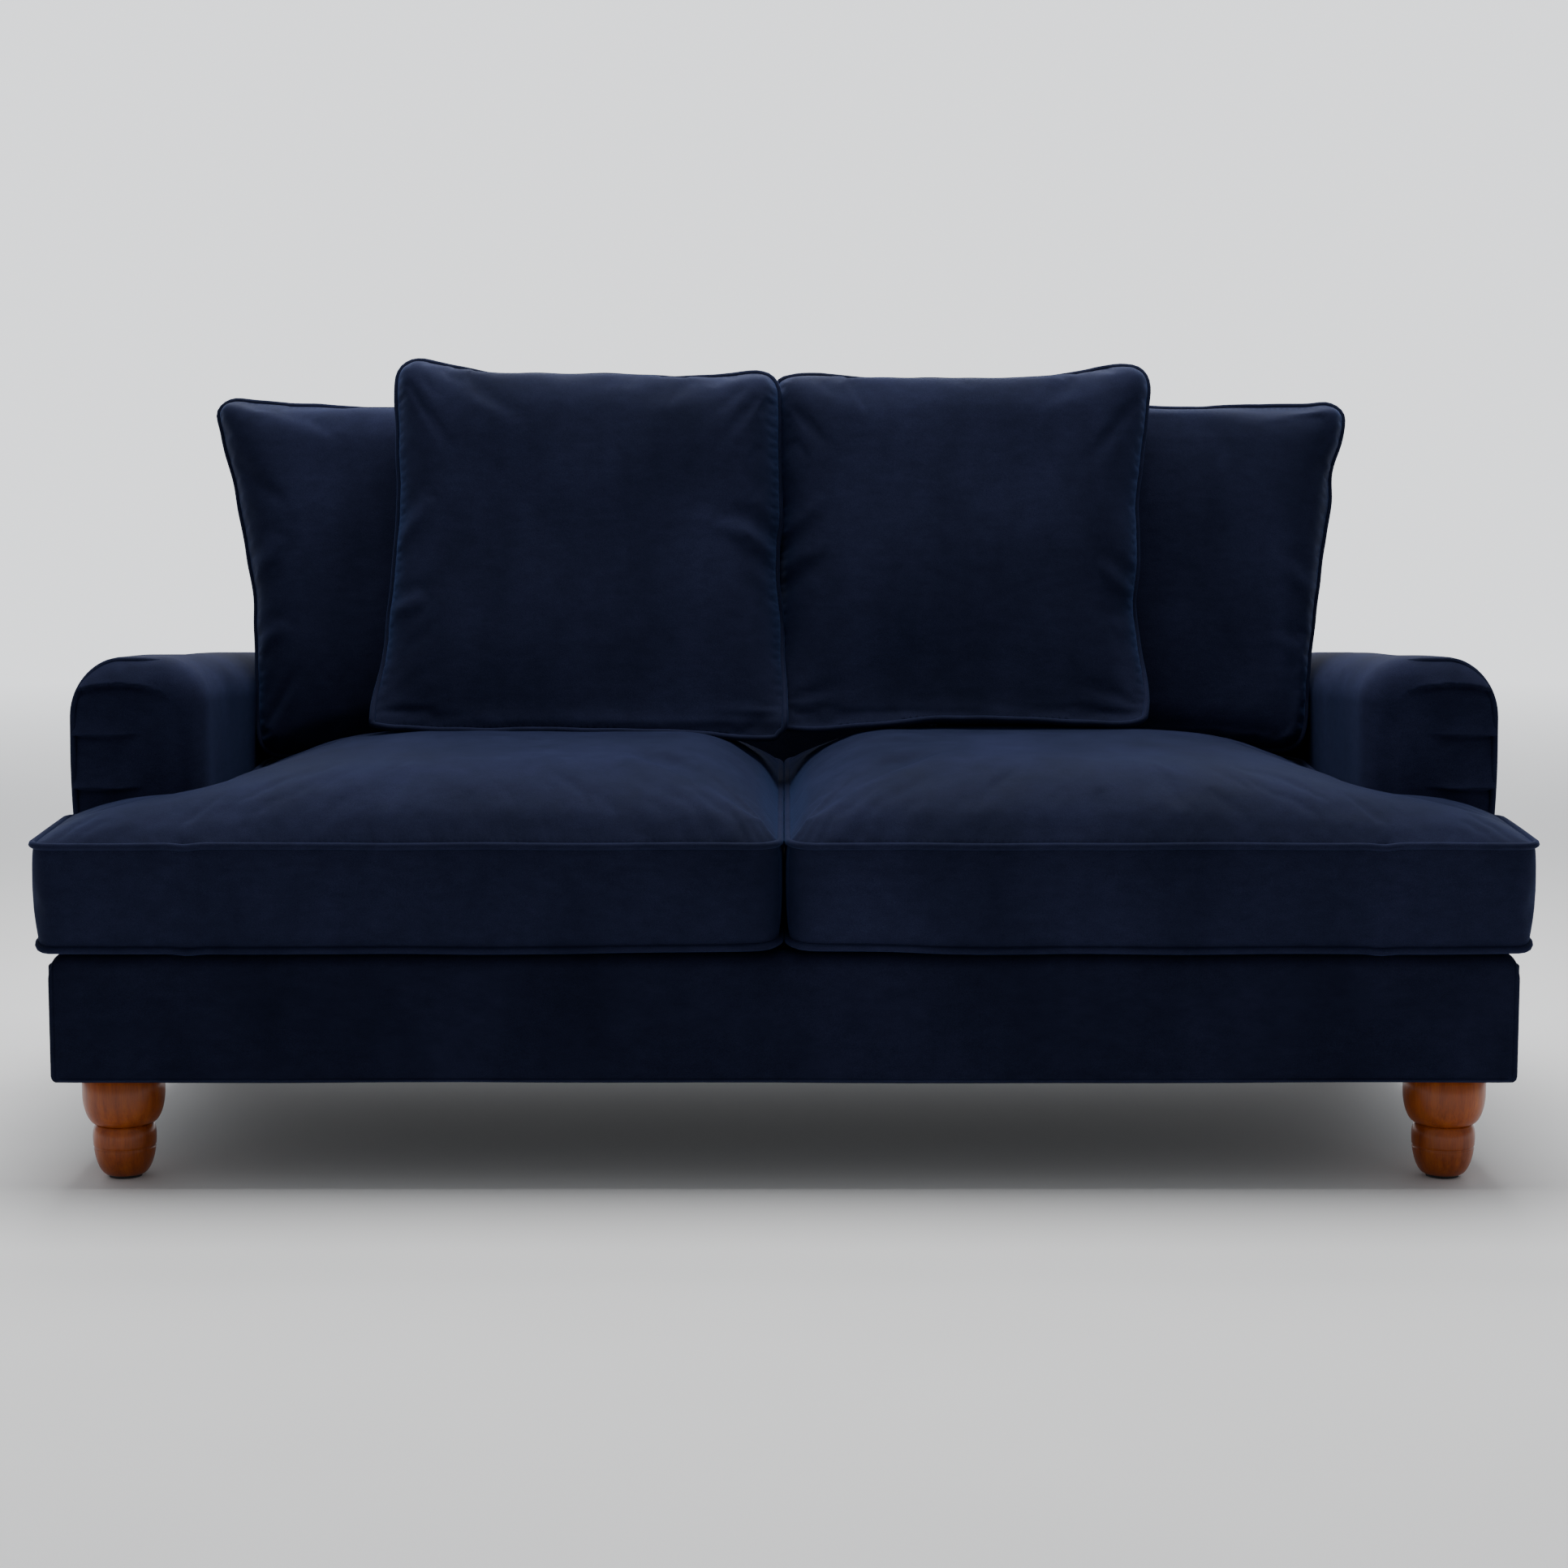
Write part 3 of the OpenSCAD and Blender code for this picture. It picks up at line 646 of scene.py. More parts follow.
def finish_cover(cover, points, seams, zip_name, joint_name, up, sunk, depth):
    """Gives a cover its final points and a finer mesh; returns the points of its filling, depth inside it."""
    set_points(cover, bed_zip(points, zip_name, joint_name, up, sunk))
    core = inward_points(cover, depth)
    crease(cover, seams)
    subdivide(cover)
    return core


# ---- Seat cushions ----

DECK_UNDER = 0.006  # the lower piping's underside over the cushion's own
BOX_LOW = DECK_UNDER + PIPING
BOXING = 0.126  # height of the cushion's sides, from seam to seam
BOX_TOP = BOX_LOW + BOXING
CROWN = 0.079  # how far the top panel stands over its seam
CELL = 0.0085  # distance between the cover's points
DROOP = 0.0065  # how far the front edge sags over the base's edge
WELT_PROUD = 0.0016  # how far the seat's piping stands out past its seam
OVER_DECK = 0.0008  # the gap between the cushion and the deck
SEAT_FOAM_IN = 0.006  # how far the foam lies inside its cover
SEAT_ZIP_SUNK = 0.0012  # the gap under the zip's slider

SEAT_FRONT = FRONT_Y + BOX_TOP * math.sin(TILT)
DECK_Z = low("seat_piping_left").z - DECK_UNDER
DECK = Matrix.Translation((0, SEAT_FRONT, DECK_Z)) @ Matrix.Rotation(TILT, 4, "X")
EAR_PROUD = 0.012  # how far the soft ears stand out past their solids
EAR_X = EAR_PROUD - low("seat_piping_left").x
SPLIT_X = -high("seat_piping_left").x
BODY_X = ARM_INNER - 0.004  # where a cushion's side lies along the arm
EAR_DEPTH = ARM_FRONT - 0.005 - SEAT_FRONT
SEAT_DEPTH = (high("seat_piping_left").y - SEAT_FRONT) / math.cos(TILT)

# The crown's share of its full height at distances in from the cushion's side: over the ear, and beside the arm.
OVER_EAR = [(0.0, 0.0), (0.006, 0.06), (0.02, 0.13), (0.05, 0.26), (0.08, 0.35), (0.11, 0.41), (0.162, 0.47),
            (0.23, 0.62), (0.29, 0.78), (0.35, 0.9), (0.43, 0.98), (0.51, 1.0)]
BESIDE_ARM = [(0.0, 0.0), (0.016, 0.05), (0.063, 0.39), (0.102, 0.7), (0.125, 0.82), (0.155, 0.89), (0.197, 0.94),
              (0.27, 1.0)]

# Pulls in the fabric: points as (from the middle seam, from the front seam), height and width.
PULLS = [([(0.012, 0.006), (0.05, 0.042)], 0.0016, 0.0035),
         ([(0.03, 0.004), (0.042, 0.025), (0.06, 0.055)], 0.0022, 0.005),
         ([(0.066, 0.004), (0.088, 0.03), (0.128, 0.08)], 0.003, 0.009),
         ([(0.1, 0.003), (0.125, 0.045)], 0.0024, 0.008),
         ([(0.15, 0.004), (0.185, 0.06)], 0.0015, 0.01),
         ([(0.742, 0.002), (0.738, 0.028)], 0.003, 0.0055),
         ([(0.42, 0.002), (0.43, 0.03)], 0.0012, 0.007)]


def seat_outline(inset):
    """The cushion's plan in its own frame: the body, and the ear that reaches in front of the arm."""
    ear, arm_side, middle = -EAR_X + inset, -BODY_X + inset, -SPLIT_X - inset
    ear_back, rear = EAR_DEPTH - inset, SEAT_DEPTH - inset
    corners = [(ear, inset), (middle, inset), (middle, rear), (arm_side, rear), (arm_side, ear_back), (ear, ear_back)]
    radii = [0.028 - inset, 0.04 - inset, 0.05 - inset, 0.05 - inset, 0.016 + inset, 0.022 - inset]
    return rounded(corners, radii, CELL)


def crown(flat, away):
    """How far the top panel stands over its seam at each flat point of the cushion's plan."""
    x, y = -flat[:, 0], flat[:, 1]
    rear = shoulder(SEAT_DEPTH - PIPING - y, 0.43)
    front = shoulder(y - PIPING, np.interp(EAR_X - x, (0.05, 0.45), (0.09, 0.165)))
    middle = shoulder(x - SPLIT_X - PIPING, 0.14)
    ear = np.interp(EAR_X - PIPING - x, *zip(*OVER_EAR))
    body = np.interp(BODY_X - PIPING - x, *zip(*BESIDE_ARM))
    t = np.clip((y - EAR_DEPTH + 0.02) / 0.36, 0, 1)
    t = t * t * (3 - 2 * t)
    return CROWN * rear * front * middle * (ear * (1 - t) + body * t) * shoulder(away, 0.024)


def droop(x, y):
    """1 along the cushion's front edge, which sags over the edge of the base, and 0 away from it."""
    return math.exp(-(max(y - PIPING, 0) / 0.018) ** 2) * (0.35 + 0.65 * smooth_step(0.0, 0.3, -x - SPLIT_X))


def seat_cushion_mesh():
    """Points and faces of the left cushion in its own frame, and the points along its two seams."""
    ring = seat_outline(PIPING)
    count = len(ring)
    top, top_faces = fill_outline(ring, CELL)
    rise = crown(top, soft_distance(top, ring))
    points = [(x, y, BOX_TOP + h) for (x, y), h in zip(top, rise)]
    faces = list(top_faces)
    rows = int(BOXING / CELL)
    previous = list(range(count))
    for row in range(1, rows + 1):
        t = row / rows
        start = len(points)
        for p, n in zip(ring, normals(ring)):
            gap = smooth_step(0.006, 0.05, -p[0] - SPLIT_X)
            bulge = (0.0052 * gap - 0.001) * math.sin(math.pi * t) ** 0.7 - 0.003 * t * smooth_step(0.1, 1.0, -n[0])
            z = BOX_TOP - BOXING * t - DROOP * t * droop(*p)
            points.append((p[0] + n[0] * bulge, p[1] + n[1] * bulge, z))
        current = list(range(start, start + count))
        for i in range(count):
            j = (i + 1) % count
            faces.append((previous[i], current[i], current[j], previous[j]))
        previous = current
    under, under_faces = fill_outline(np.array([points[i][:2] for i in previous]), CELL)
    away = soft_distance(under, ring)
    sag = np.array([droop(*p) for p in under])
    drop = 0.0085 * shoulder(away, 0.03) + 0.0095 * np.exp(-((away - 0.009) / 0.006) ** 2) * sag
    number = dict(enumerate(previous))
    for i in range(count, len(under)):
        number[i] = len(points)
        points.append((*under[i], BOX_LOW - drop[i] - DROOP * sag[i]))
    faces += [tuple(number[i] for i in reversed(f)) for f in under_faces]
    return np.array(points), faces, list(range(count)), previous


def seat_wrinkles(points):
    """Fabric pulls along the front and a slow unevenness over the cushion."""
    above = points[:, 2] > BOX_TOP + 0.0005
    flat = np.column_stack([-points[:, 0] - SPLIT_X - PIPING, points[:, 1] - PIPING])
    for path, height, width in PULLS:
        points[:, 2] += fold(flat, path, height, width) * above
    for i, (x, y, z) in enumerate(points):
        if above[i]:
            rise = smooth_step(0, 0.025, z - BOX_TOP)
            points[i, 2] += rise * 0.003 * noise_at(x * 4, y * 4, 0)
            points[i, 2] += rise * 0.0008 * noise_at(x * 17, y * 17, 4)
        else:
            shade = math.sin(math.pi * min(max((BOX_TOP - z) / BOXING, 0), 1))
            points[i, 1] -= shade * 0.0016 * noise_at(x * 5, y * 5, z * 9)


def seat_unevenness(points, top_seam, low_seam, right):
    """What sets one seat cushion off from the other: a slow unevenness, wavy seams and a dent at the ear's piping."""
    for i, p in enumerate(points):
        wave = noise_at(p[0] * 5 + 9, p[1] * 5, 3)
        points[i, 2] += right * smooth_step(0, 0.03, p[2] - BOX_TOP) * 0.003 * wave
    for i in top_seam + low_seam:
        x, y = points[i, 0], points[i, 1]
        points[i, 2] += 0.0016 * noise_at(x * 7 + 3 * right, y * 7, points[i, 2] * 40)
        points[i, 2] -= 0.0022 * math.exp(-((x + 0.745) / 0.014) ** 2) * (y < 0.05)


def seat_cushions():
    """Both seat cushions, from one cover blown up in its own frame."""
    start, faces, top_seam, low_seam = seat_cushion_mesh()
    seat_wrinkles(start)
    cover = new_piece("seat_cushion_left_cover", start, faces, "velvet", "seat_cushion_left", "seat_cover_left")
    inflate(cover, top_seam + low_seam, slack=0.004, cap=0.008)
    blown = points_of(cover)
    blown[:, 2] = np.maximum(blown[:, 2], OVER_DECK)
    deck_up = DECK.to_3x3() @ Vector((0, 0, 1))
    for side in SIDES:
        right = side == "right"
        body = f"seat_cushion_{side}"
        own = blown.copy()
        own_faces = [f[::-1] for f in faces] if right else faces
        seat_unevenness(own, top_seam, low_seam, right)
        if right:
            cover = new_piece(f"{body}_cover", own, own_faces, "velvet", body, "seat_cover_right")
        core = finish_cover(cover, put(own, DECK, right), [top_seam, low_seam], f"seat_zip_slider_{side}",
                            f"seat_zip_{side}_runs", deck_up, SEAT_ZIP_SUNK, SEAT_FOAM_IN)
        for seam, level in ((low_seam, "lower"), (top_seam, "upper")):
            nodes = [f"seat_piping_{side}"] if level == "lower" else []
            welt = own[seam]
            welt[:, :2] += normals(welt) * WELT_PROUD
            tube(f"{body}_{level}_piping", put(welt, DECK, right), PIPING, body, *nodes)
        foam = new_piece(f"{body}_foam", core, own_faces, "foam", body, f"seat_foam_{side}")


# ---- Back cushions ----

# Each outline in its own plane, in metres from the foot's middle: across, and up the cushion.
# The outer right cushion is drawn for the left side and mirrored.
OUTLINES = {
    "inner_left": [
        (-0.287, 0.012), (-0.268, -0.012), (-0.14, -0.017), (0.0, -0.018), (0.15, -0.021), (0.262, -0.029),
        (0.285, -0.018), (0.293, 0.006), (0.288, 0.12), (0.283, 0.2), (0.281, 0.255), (0.287, 0.3), (0.284, 0.38),
        (0.284, 0.465), (0.277, 0.5), (0.25, 0.515), (0.187, 0.51), (0.09, 0.516), (-0.02, 0.518), (-0.117, 0.518),
        (-0.185, 0.525), (-0.235, 0.533), (-0.263, 0.518), (-0.27, 0.48), (-0.266, 0.38), (-0.264, 0.3),
        (-0.269, 0.25), (-0.272, 0.2), (-0.276, 0.12)],
    "inner_right": [
        (-0.264, 0.006), (-0.246, -0.014), (-0.14, -0.011), (-0.05, -0.001), (0.06, -0.001), (0.13, -0.004),
        (0.235, -0.006), (0.259, 0.022), (0.258, 0.11), (0.251, 0.18), (0.257, 0.25), (0.26, 0.36), (0.271, 0.45),
        (0.276, 0.497), (0.264, 0.523), (0.235, 0.531), (0.18, 0.524), (0.09, 0.518), (-0.02, 0.517),
        (-0.117, 0.517), (-0.185, 0.517), (-0.24, 0.515), (-0.266, 0.495), (-0.27, 0.4), (-0.266, 0.25),
        (-0.268, 0.13)],
    "outer_left": [
        (-0.276, 0.01), (-0.262, -0.018), (-0.228, -0.028), (-0.12, -0.018), (0.0, -0.01), (0.13, -0.004),
        (0.262, 0.006), (0.278, 0.03), (0.276, 0.13), (0.27, 0.25), (0.272, 0.36), (0.276, 0.47), (0.27, 0.51),
        (0.24, 0.522), (0.18, 0.517), (0.08, 0.514), (-0.03, 0.51), (-0.13, 0.508), (-0.22, 0.508), (-0.285, 0.513),
        (-0.328, 0.516), (-0.351, 0.496), (-0.344, 0.46), (-0.326, 0.4), (-0.317, 0.355), (-0.307, 0.305),
        (-0.295, 0.244), (-0.291, 0.19), (-0.288, 0.15), (-0.283, 0.08)],
    "outer_right": [
        (-0.27, 0.02), (-0.257, -0.008), (-0.225, -0.018), (-0.12, -0.008), (0.0, -0.002), (0.13, 0.004),
        (0.262, 0.01), (0.278, 0.03), (0.276, 0.13), (0.27, 0.25), (0.272, 0.36), (0.276, 0.47), (0.27, 0.51),
        (0.24, 0.522), (0.18, 0.519), (0.08, 0.517), (-0.03, 0.512), (-0.13, 0.51), (-0.22, 0.508), (-0.28, 0.508),
        (-0.318, 0.509), (-0.341, 0.49), (-0.336, 0.45), (-0.322, 0.4), (-0.318, 0.355), (-0.31, 0.305),
        (-0.301, 0.244), (-0.294, 0.19), (-0.287, 0.15), (-0.278, 0.08)],
}

PILLOW_THICK = 0.152
PILLOW_CELL = 0.009  # distance between the cover's points
OUTER_ACROSS = 0.49  # how far the outer cushions' feet stand from the sofa's middle
FILLING_IN = 0.007  # how far the filling lies inside its cover
BACK_ZIP_SUNK = 0.0004  # the gap under the zip's slider
# How far each bottom seam is pulled forward of the cushion's middle.
PILLOW_SLUMP = {"inner_left": 0.084, "inner_right": 0.09, "outer_left": 0.04, "outer_right": 0.04}

# Pulls in each cushion's front: points in its own plane, height and width.
PILLOW_PULLS = {
    "inner_left": [([(-0.268, 0.252), (-0.238, 0.282), (-0.18, 0.34)], 0.0075, -0.0125),
                   ([(-0.274, 0.155), (-0.24, 0.166), (-0.18, 0.172)], 0.0065, -0.011),
                   ([(0.29, 0.238), (0.24, 0.264), (0.15, 0.288)], 0.0085, 0.013),
                   ([(0.29, 0.19), (0.255, 0.205), (0.215, 0.235)], 0.004, 0.01)],
    "inner_right": [([(0.262, 0.178), (0.235, 0.192), (0.17, 0.235)], 0.0075, 0.012),
                    ([(0.262, 0.14), (0.235, 0.14), (0.19, 0.13)], 0.004, 0.011),
                    ([(-0.272, 0.21), (-0.235, 0.235), (-0.17, 0.25)], 0.006, 0.012),
                    ([(-0.27, 0.27), (-0.235, 0.29), (-0.18, 0.33)], 0.0045, 0.011)],
    "outer_left": [([(-0.292, 0.235), (-0.265, 0.262), (-0.225, 0.3)], 0.0075, -0.014),
                   ([(-0.286, 0.13), (-0.255, 0.15), (-0.2, 0.165)], 0.005, -0.012)],
    "outer_right": [([(-0.297, 0.205), (-0.265, 0.232), (-0.215, 0.27)], 0.0075, -0.013),
                    ([(-0.284, 0.11), (-0.255, 0.13), (-0.2, 0.15)], 0.005, -0.012)],
}
SEEDS = {"inner_left": 1.0, "inner_right": 5.0, "outer_left": 9.0, "outer_right": 14.0}


def pillow_plane(name, mirrored):
    """Places a cushion's own plane: across is X, up the cushion is Z, and its front faces -Y."""
    lowest, highest = low(f"back_piping_{name}"), high(f"back_piping_{name}")
    across = (lowest.x + highest.x) / 2
    if name.startswith("outer"):
        across = math.copysign(OUTER_ACROSS, across)
    return (Matrix.Translation((-across if mirrored else across, lowest.y + PIPING, lowest.z + PIPING))
            @ Matrix.Rotation(-RAKE, 4, "X"))


def pillow_seam(name):
    """The cushion's seam in its own plane, its piping lying just inside the outline and slightly wavy."""
    ring = spline(OUTLINES[name], PILLOW_CELL)
    if np.cross(ring, np.roll(ring, -1, axis=0)).sum() < 0:
        ring = ring[::-1]
    waves = np.zeros(len(ring))
    for i, (x, z) in enumerate(ring):
        free = smooth_step(0.05, 0.12, z) * (1 - smooth_step(0.42, 0.5, z)) if abs(x) > 0.25 else 0.5
        waves[i] = (0.4 + 0.9 * free) * 0.0026 * noise_at(x * 17, z * 17, SEEDS[name])
    ring = ring - normals(ring) * (PIPING + waves[:, None])
    ring[:, 1] -= 0.0065 * top_middle(ring[:, 0]) * (ring[:, 1] > 0.45)
    return ring


def top_middle(x):
    """1 along the middle of a cushion's top, where its faces bulge over the piping, and 0 at its corners."""
    return np.clip((0.2 - np.abs(x)) / 0.07, 0, 1)


def pillow(name):
    """A back cushion: two faces sewn round their seam and blown up, with its piping and filling."""
    mirrored = name.endswith("right") and name.startswith("outer")
    ring = pillow_seam(name)
    count = len(ring)
    flat, flat_faces = fill_outline(ring, PILLOW_CELL)
    away = soft_distance(flat, ring)
    seed = SEEDS[name]
    full = 0.7 * shoulder(away, 0.055) + 0.3 * shoulder(away, 0.165)
    half = PILLOW_THICK / 2 * full * (1.04 - 0.1 * np.clip(flat[:, 1] / 0.52, 0, 1))
    slump = PILLOW_SLUMP[name] * (1 - full) * np.clip(1 - flat[:, 1] / 0.16, 0, 1) ** 1.5
    sway = np.array([0.005 * noise_at(x * 4, z * 4, seed) for x, z in flat])
    swell = np.array([0.005 * noise_at(x * 6, z * 6, seed * 7) for x, z in flat])
    swell *= shoulder(away, 0.1)
    pulls = sum(fold(flat, path, height, width) for path, height, width in PILLOW_PULLS[name])
    pulls *= np.clip(away / 0.006, 0, 1)
    over = 0.0105 * top_middle(flat[:, 0]) * (flat[:, 1] > 0.4) * np.sin(math.pi * np.clip(away / 0.045, 0, 1)) ** 0.8
    front = np.column_stack([flat[:, 0], sway - slump - half - swell - pulls, flat[:, 1] + over])
    back = np.column_stack([flat[:, 0], sway - slump + half - swell, flat[:, 1] + over])
    points = np.vstack([front, back[count:]])
    extra = len(flat) - count
    faces = flat_faces + [tuple(i if i < count else i + extra for i in reversed(f)) for f in flat_faces]
    if mirrored:
        faces = [f[::-1] for f in faces]
    body = f"back_cushion_{name}"
    cover = new_piece(f"{body}_cover", points, faces, "velvet", body, f"back_cover_{name}")
    inflate(cover, range(count), slack=0.0035, cap=0.007)
    blown = points_of(cover)
    place = pillow_plane(name, mirrored)
    placed = put(blown, place, mirrored)
    core = finish_cover(cover, placed, [range(count)], f"back_zip_slider_{name}", f"back_zip_{name}_runs", LIFT,
                        BACK_ZIP_SUNK, FILLING_IN)
    tube(f"{body}_piping", placed[:count], PIPING, body, f"back_piping_{name}")
    filling = new_piece(f"{body}_filling", core, faces, "fibre", body, f"back_filling_{name}")


# ---- Arms ----

ARM_DROP = math.radians(3.0)  # the arm's top slopes down to the back by this
ARM_HEIGHT = (ARM_TOP - RAIL_TOP) / math.cos(ARM_DROP) - 0.001
ARM_LENGTH = (BACK_Y - ARM_FRONT) / math.cos(ARM_DROP) - 0.002
ARM_IN = (0.062, 0.062)  # how far the inner top corner's bend reaches across and down
ARM_OUT = (0.065, 0.08)  # and the outer one's
ARM_SIDE, ARM_BEND, ARM_ACROSS = 150, 34, 10  # points up a side, round a corner and across the top
ARM_ROWS = 46  # rings of points from the face to the back of the sofa
ARM_STEP = 0.0022  # distance between the face's points
FACE_BOTTOM = 30  # points along the face's lower edge
CORD_TAIL = 8  # points of the inner bend that the cord runs on for
ARM_ROLL = 0.0505  # the face is flat further in from its edge than this

# Pleats on an arm's face, from the outer edge inwards: points as (from that edge, below the arm's top), how far
# in they fade, and their strength.
PLEATS = [([(0.0, 0.053), (0.01, 0.046), (0.034, 0.039), (0.066, 0.0365), (0.098, 0.04), (0.119, 0.047),
            (0.137, 0.063)], 0.12, 1.5),
          ([(0.0, 0.104), (0.05, 0.105), (0.1, 0.103)], 0.086, 1.0),
          ([(0.0, 0.175), (0.05, 0.176), (0.1, 0.174)], 0.086, 1.0),
          ([(0.0, 0.245), (0.05, 0.246), (0.1, 0.244)], 0.08, 0.9),
          ([(0.0, 0.31), (0.05, 0.311), (0.1, 0.309)], 0.08, 0.9)]
HOLLOW_ACROSS = 0.142  # where a soft hollow runs down the face beside the pleats


def arm_frame():
    return Matrix.Translation((0, ARM_FRONT, RAIL_TOP)) @ Matrix.Rotation(-ARM_DROP, 4, "X")


def arm_section(inset):
    """The left arm's section, inset all round: up the outer side, over the top and down the inner side."""
    outer_low, outer_top = -BASE_HIGH.x, -ARM_OUTER
    top = ARM_HEIGHT - inset
    points = []
    z_out, x_out = ARM_HEIGHT - ARM_OUT[1], outer_top + ARM_OUT[0]
    for k in range(ARM_SIDE):
        t = k / ARM_SIDE
        flare = math.sin(math.pi / 2 * min(1.15 * t, 1))
        points.append((outer_low + (outer_top - outer_low) * flare + inset, z_out * t))
    for k in range(ARM_BEND):
        a = math.pi - math.pi / 2 * k / ARM_BEND
        points.append((x_out + max(ARM_OUT[0] - inset, 0) * math.cos(a), z_out + (top - z_out) * math.sin(a)))
    x_in, z_in = -ARM_INNER - ARM_IN[0], ARM_HEIGHT - ARM_IN[1]
    for k in range(ARM_ACROSS):
        points.append((x_out + (x_in - x_out) * k / ARM_ACROSS, top))
    for k in range(ARM_BEND):
        a = math.pi / 2 - math.pi / 2 * k / ARM_BEND
        points.append((x_in + max(ARM_IN[0] - inset, 0) * math.cos(a), z_in + (top - z_in) * math.sin(a)))
    for k in range(ARM_SIDE + 1):
        points.append((-ARM_INNER - inset, z_in * (1 - k / ARM_SIDE)))
    return np.array(points)


def arm_softness(i):
    """How far back the face bends at that point of the section: crisp at the piped outer edge, soft elsewhere."""
    bend = smooth_step(ARM_SIDE, ARM_SIDE + ARM_BEND * 0.9, i)
    inner = smooth_step(ARM_SIDE + ARM_BEND + ARM_ACROSS * 0.3, ARM_SIDE + 2 * ARM_BEND + ARM_ACROSS, i)
    return 0.006 + 0.03 * bend + 0.014 * inner


def arm_relief(x, z, right):
    """How far the gathered fabric of the face lies behind (or, below 0, before) its plane."""
    across, below = x + ARM_OUTER, ARM_HEIGHT - z
    hollow = 0.0045 * math.exp(-((across - HOLLOW_ACROSS) / 0.012) ** 2) * smooth_step(0.035, 0.1, below)
    unevenness = 0.002 * noise_at(x * 9, z * 9, 2 + right)
    return hollow + unevenness - pleat(across, below)


def pleat(across, below):
    """How far the gathered face stands out at that point: each pleat folds down over the one below it."""
    total = 0.0
    for line, reach, strength in PLEATS:
        above = float(np.interp(across, *zip(*line))) - below
        fade = 1 - smooth_step(reach * 0.72, reach * 1.16, across)
        if above > 0:
            lift = 0.0075 * math.exp(-above / 0.017) * smooth_step(-0.0003, 0.0011, above)
        else:
            lift = -0.0045 * math.exp(above / 0.0045) * smooth_step(-0.0003, 0.001, -above)
        total += lift * fade * strength
    return total


def arm(side):
    """An arm's cover: its gathered face, rolled at the edge, and the fabric round its sides and top."""
    right = side == "right"
    place = arm_frame()
    base_section = arm_section(0)
    count = len(base_section)
    soft = [arm_softness(i) for i in range(count)]
    steps = int(ARM_ROLL / ARM_STEP)
    rings = []
    for k in range(steps, -1, -1):
        inset = ARM_ROLL * k / steps
        relief = smooth_step(0, 0.005, inset)
        rings.append([(x, bent_back(r, inset) + arm_relief(x, z, right) * relief, z)
                      for r, (x, z) in zip(soft, arm_section(inset))])
    rim = [(x, z) for x, _, z in rings[0]]
    bottom = np.linspace(rim[-1], rim[0], FACE_BOTTOM)[1:-1]
    middle, middle_faces = fill_outline(np.vstack([rim, bottom]), ARM_STEP * 1.1)
    for t in np.linspace(0, 1, ARM_ROWS)[1:]:
        ring = []
        for i, (x, z) in enumerate(base_section):
            y = min(soft[i] + (ARM_LENGTH - soft[i]) * t, ARM_LENGTH - z * math.tan(ARM_DROP))
            wave = noise_at(x * 3, y * 3.5, z * 3 + 4 * right)
            dip = 0.004 * math.sin(math.pi * min(t * 1.05, 1)) * wave
            outward = Vector((x + (ARM_INNER + ARM_OUTER) / 2, 0, z - ARM_HEIGHT * 0.6)).normalized()
            keep = 0.35 if i > ARM_SIDE + ARM_BEND + ARM_ACROSS else 1.0
            ring.append((x + outward.x * dip * keep, y, z + outward.z * dip))
        rings.append(ring)
    inner = [(x, arm_relief(x, z, right), z) for x, z in middle[count:]]
    placed = put([p for ring in rings for p in ring] + inner, place, right)
    placed[:, 2] = np.maximum(placed[:, 2], RAIL_TOP + 0.0005)
    last = (len(rings) - 1) * count
    faces = [tuple(i if i < count else i + last for i in f) for f in middle_faces]
    faces += skin(len(rings), count, ring=False)
    faces.append(tuple(range(last, last + count)))
    cover = new_piece(f"arm_{side}_cover", placed, faces, "velvet", "sofa_frame",
                      f"arm_shell_{side}", f"arm_facing_{side}")
    tidy_mesh(cover)
    # painted light: the arm cover gets the lighter copy of the velvet with less sheen
    cover.data.materials[0] = ARM_VELVET_PAINTED_LIGHT
    arm_cord(side, place, soft)


def arm_cord(side, place, soft):
    """The piping up the arm's outer front edge, which runs out on top where the fabric wraps round."""
    inset = PIPING + 0.0005
    section = arm_section(inset)
    end = ARM_SIDE + ARM_BEND + ARM_ACROSS + CORD_TAIL
    path = []
    for i in range(3, end):
        x, z = section[i]
        sunk = 0.006 * smooth_step(end - 14, end - 1, i)
        path.append((x, bent_back(soft[i], inset) + 0.0005 + sunk, z - sunk * 0.6))
    path = even(put(path, place, side == "right"), 0.006, closed=False)
    nodes = ["arm_piping"] if side == "left" else []
    tube(f"arm_{side}_piping", path, PIPING, "sofa_frame", *nodes, closed=False)


# ---- Base and back ----


END_ZONE, END_STEP = 0.04, 0.002  # near its ends a long block has points this close together
PLAIN = 0.05  # further than this from its ends it is the same all along
SEAM_DEPTH = 0.0012  # depth and half the width of the seam's groove


